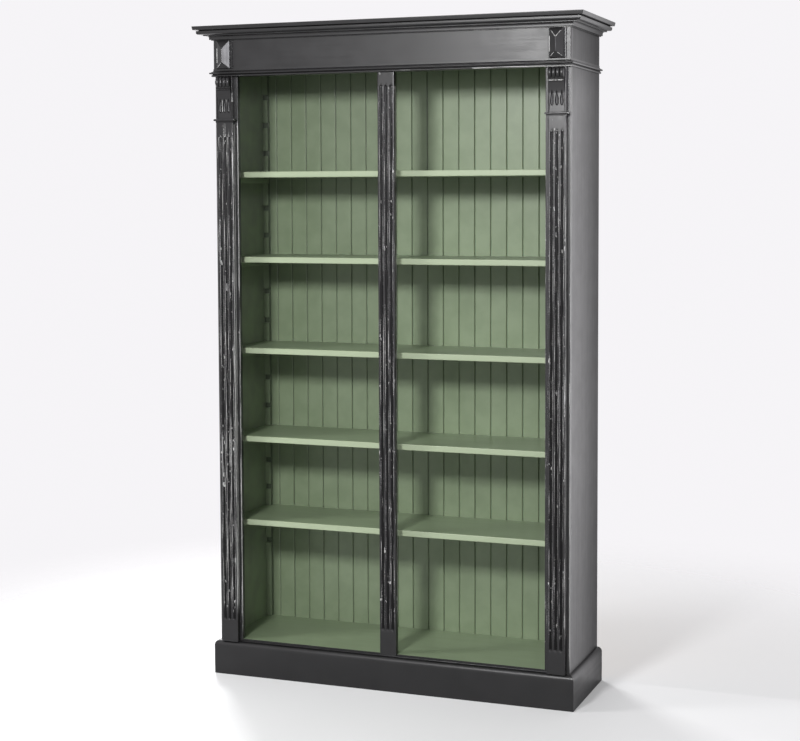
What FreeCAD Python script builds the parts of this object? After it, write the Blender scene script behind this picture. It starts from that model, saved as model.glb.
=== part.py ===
import FreeCAD
import Part
import math
import os

# A tall open bookcase in painted solid wood. It comes apart into boards, stiles, planted
# pilasters and mouldings, notched racks, loose cleats and loose shelves.
# Bench frame: x runs to the right, y runs from the face of the side stiles to the back,
# z runs up from the floor. Each solid is moved at export, so that the origin of the
# finished part lies under the middle of its overall box.

Vector = FreeCAD.Vector

# Driving sizes of the case
case_width = 1238.0
case_depth = 347.0
total_height = 2200.0
entablature_height = 166.0
panel_thickness = 22.0
roof_thickness = 20.0
floor_thickness = 20.0

# Face frame
stile_width = 83.0
stile_thickness = 18.0
stile_corner_radius = 3.0
centre_stile_width = 58.0
centre_stile_proud = 5.0
rail_thickness = 18.0
bottom_rail_lift = 12.0
tenon_length = 22.0
tenon_thickness = 6.0
tenon_shoulder = 10.0
housing_depth = 6.0

# Plinth
plinth_height = 114.0
plinth_reach = 17.0
plinth_rounding = 15.0
sill_bead_height = 4.0
floor_nose_show = 5.0
glue_block_size = 36.0

# Pilasters and flutes
pilaster_width = 60.0
pilaster_thickness = 16.0
pilaster_margin = 12.0
edge_radius = 1.5
flute_count = 3
flute_width = 10.0
flute_depth = 4.0
flute_pitch = 17.0
pilaster_flute_foot = 76.0
pilaster_flute_head = 47.0
centre_flute_foot = 84.0
centre_flute_head = 42.0

# Neck mouldings and corbels
neck_height = 12.0
neck_nose_height = 7.0
neck_reach = 8.0
neck_fillet_reach = 2.5
corbel_height = 141.0
roll_radius = 19.0
roll_reach = 37.0
roll_width = 52.0
reed_count = 4
reed_depth = 2.4
waist_width = 45.0
belly_reach = 21.5
belly_width = 58.0
tear_length = 40.0
tear_radius = 5.0
tear_depth = 4.0
tear_pitch = 16.0

# Entablature
frieze_thickness = 9.0
architrave_height = 26.0
architrave_reach = 12.0
cornice_height = 45.0
cornice_reach = 54.0
rosette_width = 58.0
rosette_plate = 5.0
rosette_rim = 7.5
rosette_end_rim = 1.5
rosette_block = 5.0
rosette_rise = 17.0

# Back boards
back_thickness = 12.0
back_recess = 8.0
back_rebate = 10.0
back_foot = 20.0
back_pitch = 114.0
vee_depth = 3.0
tongue_length = 6.0
tongue_thickness = 4.0

# Racks, cleats and shelves
rack_width = 20.0
rack_depth = 18.0
notch_depth = 9.0
notch_pitch = 98.0
spare_notches_between = 2
spare_notches_above = 3
spare_notches_below = 1
cleat_height = 17.5
cleat_chamfer = 1.5
shelf_thickness = 20.0
shelf_setback = 49.0
shelf_edge_radius = 2.5
# From the floor of the case to the lowest shelf, then from shelf to shelf
bay_1_height = 405.0
bay_2_height = 288.0
bay_3_height = 303.0
bay_4_height = 310.0
bay_5_height = 288.0
bay_heights = (bay_1_height, bay_2_height, bay_3_height, bay_4_height, bay_5_height)

# Clearances
tenon_clearance = 0.2
tongue_clearance = 0.3
notch_clearance = 0.3
seat_clearance = 0.3
shelf_clearance = 1.0
overrun = 1.0

# Places that several pieces share
half_case = case_width / 2
inner_half = half_case - panel_thickness
stile_inner = half_case - stile_width
roof_under = total_height - roof_thickness
opening_top = total_height - entablature_height
sill_top = plinth_height + sill_bead_height
floor_top = sill_top + floor_nose_show
floor_under = floor_top - floor_thickness
frieze_face = -frieze_thickness
frieze_bottom = opening_top + architrave_height
frieze_top = total_height - cornice_height
back_face = case_depth - back_recess - back_thickness
pilaster_centre = half_case - pilaster_margin - pilaster_width / 2
pilaster_face = -pilaster_thickness
corbel_bottom = opening_top - corbel_height
pilaster_top = corbel_bottom - neck_height
centre_face = -centre_stile_proud
centre_half = centre_stile_width / 2
rack_inner = inner_half - rack_width
front_rack_back = stile_thickness + rack_depth
back_rack_front = back_face - rack_depth
overall_depth = case_depth + frieze_thickness + cornice_reach
to_part_frame = Vector(0, frieze_thickness + cornice_reach - overall_depth / 2, 0)


def save(name, shape):
    """Write one sub-part, moved from the bench frame to the frame of the part."""
    moved = shape.copy()
    moved.translate(to_part_frame)
    moved.exportStep("parts/" + name + ".step")


def block(x0, x1, y0, y1, z0, z1):
    return Part.makeBox(x1 - x0, y1 - y0, z1 - z0, Vector(x0, y0, z0))


def mirrored(shape):
    return shape.mirror(Vector(0, 0, 0), Vector(1, 0, 0))


def save_pair(name, right):
    save(name + "_right", right)
    save(name + "_left", mirrored(right))


def in_plan(z):
    return lambda u, v: Vector(u, v, z)


def in_side_view(x):
    return lambda u, v: Vector(x, u, v)


def in_front_view(y):
    return lambda u, v: Vector(u, y, v)


def room(length, neighbour_radius):
    """How much of an edge the rounding of one of its corners may take."""
    shared_limit_share = 0.49
    lone_limit_share = 0.98
    if neighbour_radius > 0:
        return shared_limit_share * length
    return lone_limit_share * length


def outline(corners, place):
    """A face from corners (u, v, radius). A radius is cut back where its edges are short."""
    edges = []
    first = None
    last = None
    for i in range(len(corners)):
        u, v, radius = corners[i]
        before = corners[i - 1]
        after = corners[(i + 1) % len(corners)]
        run_in = math.hypot(u - before[0], v - before[1])
        run_out = math.hypot(after[0] - u, after[1] - v)
        a = ((u - before[0]) / run_in, (v - before[1]) / run_in)
        b = ((after[0] - u) / run_out, (after[1] - v) / run_out)
        turn = math.acos(max(-1.0, min(1.0, a[0] * b[0] + a[1] * b[1])))
        slope = math.tan(turn / 2)
        tangent = min(radius * slope, room(run_in, before[2]), room(run_out, after[2]))
        if radius > 0 and tangent > 0:
            fitted = tangent / slope
            inward = (b[0] - a[0], b[1] - a[1])
            length = math.hypot(inward[0], inward[1])
            lift = (fitted / math.cos(turn / 2) - fitted) / length
            start = place(u - tangent * a[0], v - tangent * a[1])
            middle = place(u + lift * inward[0], v + lift * inward[1])
            end = place(u + tangent * b[0], v + tangent * b[1])
            arc = Part.Arc(start, middle, end).toShape()
        else:
            start = place(u, v)
            end = start
            arc = None
        if last is not None:
            edges.append(Part.makeLine(last, start))
        if arc is not None:
            edges.append(arc)
        if first is None:
            first = start
        last = end
    edges.append(Part.makeLine(last, first))
    return Part.Face(Part.Wire(edges))


def along_x(corners, x0, x1):
    """A bar whose section is given as (y, z, radius)."""
    return outline(corners, in_side_view(x0)).extrude(Vector(x1 - x0, 0, 0))


def along_y(corners, y0, y1):
    """A bar whose section is given as (x, z, radius)."""
    return outline(corners, in_front_view(y0)).extrude(Vector(0, y1 - y0, 0))


def along_z(corners, z0, z1):
    """A bar whose section is given as (x, y, radius)."""
    return outline(corners, in_plan(z0)).extrude(Vector(0, 0, z1 - z0))


def front_moulding(profile, base, reach):
    """The front length of a moulding, mitred at both ends. The profile holds
    (reach, z, radius) and the base is the y of the face that it is planted on."""
    long_half = half_case + reach
    section = [(base - c, z, radius) for c, z, radius in profile]
    bar = along_x(section, -long_half, long_half)
    plan = [(-half_case, base, 0), (half_case, base, 0)]
    plan += [(long_half, base - reach, 0), (-long_half, base - reach, 0)]
    return bar.common(along_z(plan, -overrun, total_height + overrun))


def side_moulding(profile, base, reach):
    """The right-hand return of the same moulding, mitred at its front end."""
    section = [(half_case + c, z, radius) for c, z, radius in profile]
    bar = along_y(section, base - reach, case_depth)
    plan = [(half_case, base, 0), (half_case + reach, base - reach, 0)]
    plan += [(half_case + reach, case_depth, 0), (half_case, case_depth, 0)]
    return bar.common(along_z(plan, -overrun, total_height + overrun))


def flutes(centre, face, z0, z1):
    """Cutters for round-nosed flutes, side by side in a face that looks to the front. Each
    is an outline turned about the flute's axis, with a nose of two slopes at each end."""
    slope_reach_share = 0.8
    slope_rise_share = 0.6
    radius = (flute_width ** 2 / 4 + flute_depth ** 2) / (2 * flute_depth)
    axis_y = face + flute_depth - radius
    foot = z0 + flute_width / 2
    head = z1 - flute_width / 2
    reach = slope_reach_share * radius
    rise = slope_rise_share * radius
    half_section = [(axis_y, foot - radius, 0), (axis_y + reach, foot - rise, 0),
                    (axis_y + radius, foot, 0), (axis_y + radius, head, 0),
                    (axis_y + reach, head + rise, 0), (axis_y, head + radius, 0)]
    cutters = []
    for i in range(flute_count):
        x = centre + (i - (flute_count - 1) / 2) * flute_pitch
        face_in_side_view = outline(half_section, in_side_view(x))
        cutters.append(face_in_side_view.revolve(Vector(x, axis_y, 0), Vector(0, 0, 1), 360))
    return cutters


# Case boards

def side_panel():
    """The right-hand side, rebated for the back boards and housed for the case floor."""
    panel = block(inner_half, half_case, stile_thickness, case_depth, 0, roof_under)
    rebate = block(inner_half - overrun, inner_half + back_rebate,
                   back_face, case_depth + overrun, -overrun, roof_under + overrun)
    housing = block(inner_half - overrun, inner_half + housing_depth,
                    stile_thickness - overrun, back_face + overrun, floor_under, floor_top)
    return panel.cut([rebate, housing])


def floor_board():
    """The floor of the case: its nose stands between the stiles, its ends are housed."""
    reach = inner_half + housing_depth - tenon_clearance
    nose = stile_inner
    plan = [(-nose, 0, 0), (nose, 0, 0), (nose, stile_thickness, 0),
            (reach, stile_thickness, 0), (reach, back_face, 0),
            (-reach, back_face, 0), (-reach, stile_thickness, 0), (-nose, stile_thickness, 0)]
    return along_z(plan, floor_under, floor_top)


def roof_board():
    return block(-half_case, half_case, frieze_face, case_depth, roof_under, total_height)


def rear_rail():
    """The rail under the back edge of the case floor, to which the back boards are nailed."""
    return block(-inner_half, inner_half, back_face - rail_thickness, back_face,
                 back_foot, floor_under)


def glue_blocks():
    """Four square blocks glued in the corners under the case floor."""
    front = block(inner_half - glue_block_size, inner_half, stile_thickness,
                  stile_thickness + glue_block_size, bottom_rail_lift, floor_under)
    rear_y = back_face - rail_thickness
    rear = block(inner_half - glue_block_size, inner_half, rear_y - glue_block_size,
                 rear_y, back_foot, floor_under)
    return Part.makeCompound([front, rear, mirrored(front), mirrored(rear)])


# Face frame

def rail_tenon(z0, z1, grow):
    """The tenon at the right-hand end of a rail, or its mortise when grown."""
    middle = rail_thickness / 2
    return block(stile_inner - overrun, stile_inner + tenon_length + grow,
                 middle - tenon_thickness / 2 - grow, middle + tenon_thickness / 2 + grow,
                 z0 + tenon_shoulder - grow, z1 - tenon_shoulder + grow)


def centre_tenon(grow):
    """The tenon on top of the centre stile, or its mortise when grown."""
    middle = (centre_face + stile_thickness) / 2
    return block(-centre_half + tenon_shoulder - grow, centre_half - tenon_shoulder + grow,
                 middle - tenon_thickness / 2 - grow, middle + tenon_thickness / 2 + grow,
                 opening_top - overrun, opening_top + tenon_length + grow)


def stile():
    """The right-hand stile: outer front corner eased, mortised for both rails."""
    plan = [(stile_inner, 0, edge_radius), (half_case, 0, stile_corner_radius),
            (half_case, stile_thickness, 0), (stile_inner, stile_thickness, 0)]
    bar = along_z(plan, 0, roof_under)
    high = rail_tenon(opening_top, roof_under, tenon_clearance)
    low = rail_tenon(bottom_rail_lift, floor_under, tenon_clearance)
    return bar.cut([high, low])


def rail(z0, z1):
    """A rail of the face frame between the two side stiles, with a tenon at each end."""
    bar = block(-stile_inner, stile_inner, 0, rail_thickness, z0, z1)
    right = rail_tenon(z0, z1, 0)
    return bar.fuse([right, mirrored(right)]).removeSplitter()


def top_rail():
    return rail(opening_top, roof_under).cut(centre_tenon(tenon_clearance))


def centre_stile():
    """The fluted centre stile: it laps over the nose of the case floor at its foot."""
    back = centre_face + stile_thickness
    plan = [(-centre_half, centre_face, edge_radius), (centre_half, centre_face, edge_radius),
            (centre_half, back, 0), (-centre_half, back, 0)]
    bar = along_z(plan, sill_top, opening_top).fuse(centre_tenon(0))
    lap = block(-centre_half - overrun, centre_half + overrun, 0, back + overrun,
                sill_top - overrun, floor_top)
    grooves = flutes(0, centre_face, sill_top + centre_flute_foot,
                     opening_top - centre_flute_head)
    return bar.cut([lap] + grooves)


# Plinth

def plinth_profile():
    return [(0, 0, 0), (plinth_reach, 0, 0),
            (plinth_reach, plinth_height, plinth_rounding), (0, plinth_height, 0)]


def sill_bead():
    """The thin bead on the plinth, in front of the floor's nose, between the pilasters."""
    end = pilaster_centre - pilaster_width / 2
    section = [(0, plinth_height, 0), (0, sill_top, 0),
               (centre_face, sill_top, sill_bead_height / 2),
               (centre_face, plinth_height, sill_bead_height / 2)]
    return along_x(section, -end, end)


# Pilasters, necks and corbels

def pilaster():
    left = pilaster_centre - pilaster_width / 2
    right = pilaster_centre + pilaster_width / 2
    plan = [(left, pilaster_face, edge_radius), (right, pilaster_face, edge_radius),
            (right, 0, 0), (left, 0, 0)]
    bar = along_z(plan, plinth_height, pilaster_top)
    grooves = flutes(pilaster_centre, pilaster_face, plinth_height + pilaster_flute_foot,
                     pilaster_top - pilaster_flute_head)
    return bar.cut(grooves)


def neck_moulding():
    """A nosing over a small fillet, returned round three sides of the pilaster's head."""
    nose_under = corbel_bottom - neck_nose_height
    nose_radius = neck_nose_height / 2
    profile = [(neck_fillet_reach, pilaster_top, 0), (neck_fillet_reach, nose_under, 0),
               (neck_reach, nose_under, nose_radius), (neck_reach, corbel_bottom, nose_radius)]
    side = [(0, pilaster_top, 0)]
    side += [(pilaster_face - c, z, radius) for c, z, radius in profile]
    side += [(0, corbel_bottom, 0)]
    half = pilaster_width / 2
    front = [(pilaster_centre + half + c, z, radius) for c, z, radius in profile]
    front += [(pilaster_centre - half - c, z, radius) for c, z, radius in reversed(profile)]
    end = half + neck_reach
    long_bar = along_x(side, pilaster_centre - end, pilaster_centre + end)
    deep_bar = along_y(front, pilaster_face - neck_reach, 0)
    return long_bar.common(deep_bar)


def reeded_roll(centre_y, centre_z):
    """The scroll at the corbel's head: reeds turned about an axis along x."""
    pitch = roll_width / reed_count
    valley = roll_radius - reed_depth
    start = pilaster_centre - roll_width / 2
    edges = [Part.makeLine(Vector(start, centre_y, centre_z),
                           Vector(start, centre_y - valley, centre_z))]
    for i in range(reed_count):
        left = start + i * pitch
        a = Vector(left, centre_y - valley, centre_z)
        crest = Vector(left + pitch / 2, centre_y - roll_radius, centre_z)
        b = Vector(left + pitch, centre_y - valley, centre_z)
        edges.append(Part.Arc(a, crest, b).toShape())
    end = start + roll_width
    edges.append(Part.makeLine(Vector(end, centre_y - valley, centre_z),
                               Vector(end, centre_y, centre_z)))
    edges.append(Part.makeLine(Vector(end, centre_y, centre_z),
                               Vector(start, centre_y, centre_z)))
    section = Part.Face(Part.Wire(edges))
    return section.revolve(Vector(start, centre_y, centre_z), Vector(1, 0, 0), 360)


def console(roll_z):
    """The carved tongue under the roll: its S-shaped side view meets its waisted front."""
    belly_top_share = 0.40
    belly_middle_share = 0.22
    belly_foot_share = 0.05
    waist_share = 0.66
    waist_curve_share = 0.55
    under_roll = roll_z - roll_radius / 2
    foot = corbel_bottom + belly_foot_share * corbel_height
    middle = corbel_bottom + belly_middle_share * corbel_height
    top = corbel_bottom + belly_top_share * corbel_height
    curve = corbel_bottom + waist_curve_share * corbel_height
    waist = corbel_bottom + waist_share * corbel_height
    slim_reach = (pilaster_thickness + belly_reach) / 2
    head_reach = (belly_reach + roll_reach) / 2
    side_points = [Vector(0, -pilaster_thickness, foot), Vector(0, -belly_reach, middle),
                   Vector(0, -slim_reach, top), Vector(0, -slim_reach, curve),
                   Vector(0, -head_reach, under_roll)]
    side_wire = Part.Wire([
        Part.Arc(side_points[0], side_points[1], side_points[2]).toShape(),
        Part.Arc(side_points[2], side_points[3], side_points[4]).toShape(),
        Part.makeLine(side_points[4], Vector(0, 0, under_roll)),
        Part.makeLine(Vector(0, 0, under_roll), Vector(0, 0, foot)),
        Part.makeLine(Vector(0, 0, foot), side_points[0])])
    side = Part.Face(side_wire)
    side.translate(Vector(pilaster_centre - pilaster_width / 2, 0, 0))
    side = side.extrude(Vector(pilaster_width, 0, 0))
    half_belly = belly_width / 2
    half_waist = waist_width / 2
    half_roll = roll_width / 2
    near_waist = half_waist + (half_belly - half_waist) * belly_middle_share
    face_edges = []
    for sign in (-1, 1):
        x_belly = pilaster_centre + sign * half_belly
        x_waist = pilaster_centre + sign * half_waist
        x_near = pilaster_centre + sign * near_waist
        x_roll = pilaster_centre + sign * half_roll
        face_edges.append(Part.makeLine(Vector(x_belly, 0, foot), Vector(x_belly, 0, top)))
        face_edges.append(Part.Arc(Vector(x_belly, 0, top), Vector(x_near, 0, curve),
                                   Vector(x_waist, 0, waist)).toShape())
        face_edges.append(Part.makeLine(Vector(x_waist, 0, waist), Vector(x_roll, 0, under_roll)))
    face_edges.append(Part.makeLine(Vector(pilaster_centre - half_belly, 0, foot),
                                    Vector(pilaster_centre + half_belly, 0, foot)))
    face_edges.append(Part.makeLine(Vector(pilaster_centre - half_roll, 0, under_roll),
                                    Vector(pilaster_centre + half_roll, 0, under_roll)))
    front = Part.Face(Part.Wire(Part.__sortEdges__(face_edges)))
    front = front.extrude(Vector(0, -roll_reach, 0))
    return side.common(front)


def tear_flutes():
    """Cutters for the drop-shaped flutes in the belly: a round-nosed gouge that enters at
    the foot of each drop and leaves the belly as it rises."""
    foot_share = 0.12
    low = corbel_bottom + foot_share * corbel_height + tear_radius
    axis_y = -belly_reach + tear_depth - tear_radius
    run = Vector(0, -tear_depth, tear_length - 2 * tear_radius)
    cutters = []
    for i in range(flute_count):
        nose = Vector(pilaster_centre + (i - (flute_count - 1) / 2) * tear_pitch, axis_y, low)
        ball = Part.makeSphere(tear_radius, nose)
        gouge = Part.makeCylinder(tear_radius, tear_length, nose, run)
        cutters.append(ball.fuse(gouge))
    return cutters


def corbel():
    half = pilaster_width / 2
    plan = [(pilaster_centre - half, pilaster_face, edge_radius),
            (pilaster_centre + half, pilaster_face, edge_radius),
            (pilaster_centre + half, 0, 0), (pilaster_centre - half, 0, 0)]
    back = along_z(plan, corbel_bottom, opening_top)
    roll_z = opening_top - roll_radius
    roll = reeded_roll(roll_radius - roll_reach, roll_z)
    behind = block(pilaster_centre - half, pilaster_centre + half, 0, 2 * roll_radius,
                   corbel_bottom, opening_top + overrun)
    carved = back.fuse([console(roll_z), roll]).cut([behind] + tear_flutes())
    return carved.removeSplitter()


# Entablature

def frieze_board():
    return block(-half_case, half_case, frieze_face, 0, opening_top, roof_under)


def rosette():
    """A raised plate with a hipped diamond on a low block. The ridge stands upright."""
    half = rosette_width / 2
    plate_face = frieze_face - rosette_plate
    plate = block(pilaster_centre - half, pilaster_centre + half, plate_face, frieze_face,
                  frieze_bottom, frieze_top)
    x0 = pilaster_centre - half + rosette_rim
    x1 = pilaster_centre + half - rosette_rim
    z0 = frieze_bottom + rosette_end_rim
    z1 = frieze_top - rosette_end_rim
    hip = (x1 - x0) / 2
    foot = plate_face - rosette_block
    base = [Vector(x0, foot, z0), Vector(x1, foot, z0), Vector(x1, foot, z1), Vector(x0, foot, z1)]
    low = Vector(pilaster_centre, foot - rosette_rise, z0 + hip)
    high = Vector(pilaster_centre, foot - rosette_rise, z1 - hip)
    loops = [base, [base[0], base[1], low], [base[1], base[2], high, low],
             [base[2], base[3], high], [base[3], base[0], low, high]]
    faces = [Part.Face(Part.makePolygon(loop + [loop[0]])) for loop in loops]
    diamond = Part.makeSolid(Part.makeShell(faces))
    return plate.fuse([block(x0, x1, foot, plate_face, z0, z1), diamond]).removeSplitter()


def architrave_profile():
    """A bead under a quirk, a bold nose, and a hollow that runs up into a thin fascia."""
    bead_share = 0.25
    quirk_share = 0.34
    nose_top_share = 0.56
    ledge_share = 0.62
    fascia_foot_share = 0.72
    bead_reach_share = 0.54
    quirk_reach_share = 0.30
    fascia_reach_share = 0.10
    bead_radius_share = 0.11
    hollow_share = 0.15
    reach = architrave_reach
    bead_reach = bead_reach_share * reach
    quirk_reach = quirk_reach_share * reach
    fascia_reach = fascia_reach_share * reach
    bead_radius = bead_radius_share * architrave_height

    def level(share):
        return opening_top + share * architrave_height

    return [(0, level(0), 0), (bead_reach, level(0), bead_radius),
            (bead_reach, level(bead_share), bead_radius),
            (quirk_reach, level(bead_share), 0), (quirk_reach, level(quirk_share), 0),
            (reach, level(quirk_share), bead_radius),
            (reach, level(nose_top_share), bead_radius),
            (bead_reach, level(nose_top_share), 0), (bead_reach, level(ledge_share), 0),
            (fascia_reach, level(fascia_foot_share), hollow_share * architrave_height),
            (fascia_reach, level(1), 0), (0, level(1), 0)]


def cornice_profile():
    """A leaning fascia over a quirk, an ovolo, and a cove that falls from a small fillet to
    the foot. A second quirk parts the foot from the frieze."""
    foot_low_share = 0.05
    cove_top_share = 0.32
    ovolo_low_share = 0.40
    ovolo_top_share = 0.66
    fascia_low_share = 0.73
    fascia_top_share = 0.96
    lower_quirk_reach_share = 0.11
    foot_reach_share = 0.21
    fillet_reach_share = 0.48
    upper_quirk_reach_share = 0.68
    ovolo_reach_share = 0.80
    fascia_low_reach_share = 0.96
    curve_share = 0.22
    arris_share = 0.03
    reach = cornice_reach
    curve = curve_share * cornice_height
    lower_quirk = lower_quirk_reach_share * reach
    foot = foot_reach_share * reach
    fillet = fillet_reach_share * reach
    upper_quirk = upper_quirk_reach_share * reach
    ovolo = ovolo_reach_share * reach

    def level(share):
        return frieze_top + share * cornice_height

    return [(0, level(0), 0), (lower_quirk, level(0), 0),
            (lower_quirk, level(foot_low_share), 0), (foot, level(foot_low_share), 0),
            (foot, level(cove_top_share), curve), (fillet, level(cove_top_share), 0),
            (fillet, level(ovolo_low_share), 0), (ovolo, level(ovolo_low_share), curve),
            (ovolo, level(ovolo_top_share), 0), (upper_quirk, level(ovolo_top_share), 0),
            (upper_quirk, level(fascia_low_share), 0),
            (fascia_low_reach_share * reach, level(fascia_low_share), 0),
            (reach, level(fascia_top_share), 0),
            (reach, level(1), arris_share * cornice_height), (0, level(1), 0)]


# Back boards

def back_board(left, right, has_groove, has_tongue):
    """A tongued and grooved board, with a vee at each joint and one in its middle."""
    face = back_face
    rear = back_face + back_thickness
    groove_front = face + (back_thickness - tongue_thickness) / 2 - tongue_clearance
    groove_rear = face + (back_thickness + tongue_thickness) / 2 + tongue_clearance
    tongue_front = groove_front + tongue_clearance
    tongue_rear = groove_rear - tongue_clearance
    middle = left + back_pitch / 2
    plan = [(left, face, 0)]
    if has_groove:
        bottom = left + tongue_length + tongue_clearance
        plan = [(left + vee_depth, face, 0), (left, face + vee_depth, 0),
                (left, groove_front, 0), (bottom, groove_front, 0),
                (bottom, groove_rear, 0), (left, groove_rear, 0)]
    plan += [(left, rear, 0), (right, rear, 0)]
    if has_tongue:
        plan += [(right, tongue_rear, 0), (right + tongue_length, tongue_rear, 0),
                 (right + tongue_length, tongue_front, 0), (right, tongue_front, 0),
                 (right, face + vee_depth, 0), (right - vee_depth, face, 0)]
    else:
        plan += [(right, face, 0)]
    if middle + vee_depth < right - vee_depth:
        plan += [(middle + vee_depth, face, 0), (middle, face + vee_depth, 0),
                 (middle - vee_depth, face, 0)]
    return along_z(plan, back_foot, roof_under)


def back_boards():
    """Full boards from the left rebate, and a last one cut to what is left."""
    left = -inner_half - back_rebate + tongue_clearance
    end = inner_half + back_rebate - tongue_clearance
    boards = []
    while left < end:
        right = min(left + back_pitch, end)
        if end - right < tongue_length + 2 * vee_depth:
            right = end
        boards.append(back_board(left, right, len(boards) > 0, right < end))
        left = right
    return boards


# Racks, cleats and shelves

def shelf_tops():
    tops = []
    level = floor_top
    for height in bay_heights:
        level += height
        tops.append(level)
    return tops


def cleat_bottom(shelf_top):
    return shelf_top - shelf_thickness - seat_clearance - cleat_height


def notch_seats():
    """Where the notches' seats lie: one for each shelf, and the spare ones."""
    used = [cleat_bottom(top) for top in shelf_tops()]
    seats = [used[0] - notch_pitch * (i + 1) for i in range(spare_notches_below)]
    for low, high in zip(used[:-1], used[1:]):
        step = (high - low) / (spare_notches_between + 1)
        seats += [low + step * i for i in range(spare_notches_between + 1)]
    seats += [used[-1] + notch_pitch * i for i in range(spare_notches_above + 1)]
    return sorted(seats)


def rack(y0, y1, mouth, seat):
    """A right-hand rack from y0 to y1. Its notches run from its mouth to their seat's end."""
    bar = block(rack_inner, inner_half, y0, y1, floor_top, roof_under)
    low = min(mouth, seat)
    high = max(mouth, seat)
    cuts = []
    for z in notch_seats():
        top = z + cleat_height + notch_clearance
        if floor_top < z and top < roof_under:
            cuts.append(block(rack_inner - overrun, inner_half + overrun, low, high,
                              z - notch_clearance, top))
    return bar.cut(cuts)


def front_rack():
    return rack(stile_thickness, front_rack_back, front_rack_back + overrun,
                front_rack_back - notch_depth)


def back_rack():
    return rack(back_rack_front, back_face, back_rack_front - overrun,
                back_rack_front + notch_depth)


def cleat(shelf_top):
    """A right-hand cleat, its ends in a notch of the front rack and one of the back rack."""
    bottom = cleat_bottom(shelf_top)
    top = bottom + cleat_height
    section = [(rack_inner, bottom, cleat_chamfer), (inner_half - notch_clearance, bottom, 0),
               (inner_half - notch_clearance, top, 0), (rack_inner, top, cleat_chamfer)]
    return along_y(section, front_rack_back - notch_depth + notch_clearance,
                   back_rack_front + notch_depth - notch_clearance)


def shelf(top):
    """A full-width shelf: front edge eased, back corners notched round the back racks."""
    half = inner_half - shelf_clearance
    rear = back_face - shelf_clearance
    under = top - shelf_thickness
    section = [(shelf_setback, under, shelf_edge_radius), (rear, under, 0),
               (rear, top, 0), (shelf_setback, top, shelf_edge_radius)]
    board = along_x(section, -half, half)
    corner = block(rack_inner - shelf_clearance, half + overrun,
                   back_rack_front - shelf_clearance, rear + overrun,
                   under - overrun, top + overrun)
    return board.cut([corner, mirrored(corner)])


def build():
    os.makedirs("parts", exist_ok=True)
    save_pair("side_panel", side_panel())
    save("floor_board", floor_board())
    save("roof_board", roof_board())
    save("rear_rail", rear_rail())
    save("glue_blocks", glue_blocks())
    save_pair("stile", stile())
    save("top_rail", top_rail())
    save("bottom_rail", rail(bottom_rail_lift, floor_under))
    save("centre_stile", centre_stile())
    save("plinth_front", front_moulding(plinth_profile(), 0, plinth_reach))
    save_pair("plinth", side_moulding(plinth_profile(), 0, plinth_reach))
    save("sill_bead", sill_bead())
    save_pair("pilaster", pilaster())
    save_pair("neck_moulding", neck_moulding())
    save("corbels", Part.makeCompound([corbel(), mirrored(corbel())]))
    save("frieze_board", frieze_board())
    save_pair("rosette", rosette())
    save("architrave_front",
         front_moulding(architrave_profile(), frieze_face, architrave_reach))
    save_pair("architrave",
              side_moulding(architrave_profile(), frieze_face, architrave_reach))
    save("cornice_front", front_moulding(cornice_profile(), frieze_face, cornice_reach))
    save_pair("cornice", side_moulding(cornice_profile(), frieze_face, cornice_reach))
    for number, board in enumerate(back_boards(), 1):
        save("back_board_%d" % number, board)
    save_pair("front_rack", front_rack())
    save_pair("back_rack", back_rack())
    for number, top in enumerate(shelf_tops(), 1):
        save("shelf_%d" % number, shelf(top))
        save_pair("cleat_%d" % number, cleat(top))


build()
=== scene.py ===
# %% [markdown]
# # A tall painted bookcase
# The piece is a floor-standing case of painted pine: fluted pilasters, carved corbels, a
# moulded cornice, and loose shelves on cleats in notched racks. The construction comes from
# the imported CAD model, which stays the skeleton. This lesson gives it its looks: plain boards
# keep their CAD shape and get softened edges and paint, and whatever a carver or a moulding
# plane has shaped is made again here, finer, in the same place.

# %% Load the frame
import math
import bmesh
import bpy
import numpy as np
from mathutils import Matrix, Vector, noise


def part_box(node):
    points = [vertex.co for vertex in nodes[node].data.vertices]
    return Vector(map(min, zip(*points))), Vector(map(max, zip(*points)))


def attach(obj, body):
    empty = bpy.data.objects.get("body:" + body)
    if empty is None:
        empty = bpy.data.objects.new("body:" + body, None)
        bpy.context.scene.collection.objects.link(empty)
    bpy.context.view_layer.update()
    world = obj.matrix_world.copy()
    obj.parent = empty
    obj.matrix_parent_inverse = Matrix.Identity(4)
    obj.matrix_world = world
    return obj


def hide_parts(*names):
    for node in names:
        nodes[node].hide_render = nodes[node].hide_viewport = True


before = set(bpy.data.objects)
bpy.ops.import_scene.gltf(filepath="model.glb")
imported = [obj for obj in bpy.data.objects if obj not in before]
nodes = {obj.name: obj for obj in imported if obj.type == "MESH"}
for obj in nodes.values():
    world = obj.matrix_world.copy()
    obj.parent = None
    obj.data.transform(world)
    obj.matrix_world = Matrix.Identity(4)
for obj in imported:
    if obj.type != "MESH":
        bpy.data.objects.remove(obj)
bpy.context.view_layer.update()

# %% [markdown]
# ## The camera
# The photograph's camera was solved from the edges of the case, so the camera needs no
# tuning by eye. It stands to the right and a little above the middle, and its picture is
# shifted instead of tilted further, which keeps the uprights nearly upright.

# %% Camera
PHOTO_WIDTH = 800
SENSOR = 36.0
FOCAL_PIXELS = 1628.46
VIEW_FROM = (1.97069, -5.06599, 1.63577)
VIEW_YAW = 20.2991
VIEW_DROP = 3.6793
VIEW_ROLL = 0.1595
PICTURE_SHIFT = (-0.0375, -0.088125)


def put(name, data):
    """Makes an object of the data and puts it into the scene."""
    thing = bpy.data.objects.new(name, data)
    bpy.context.scene.collection.objects.link(thing)
    return thing


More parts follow.
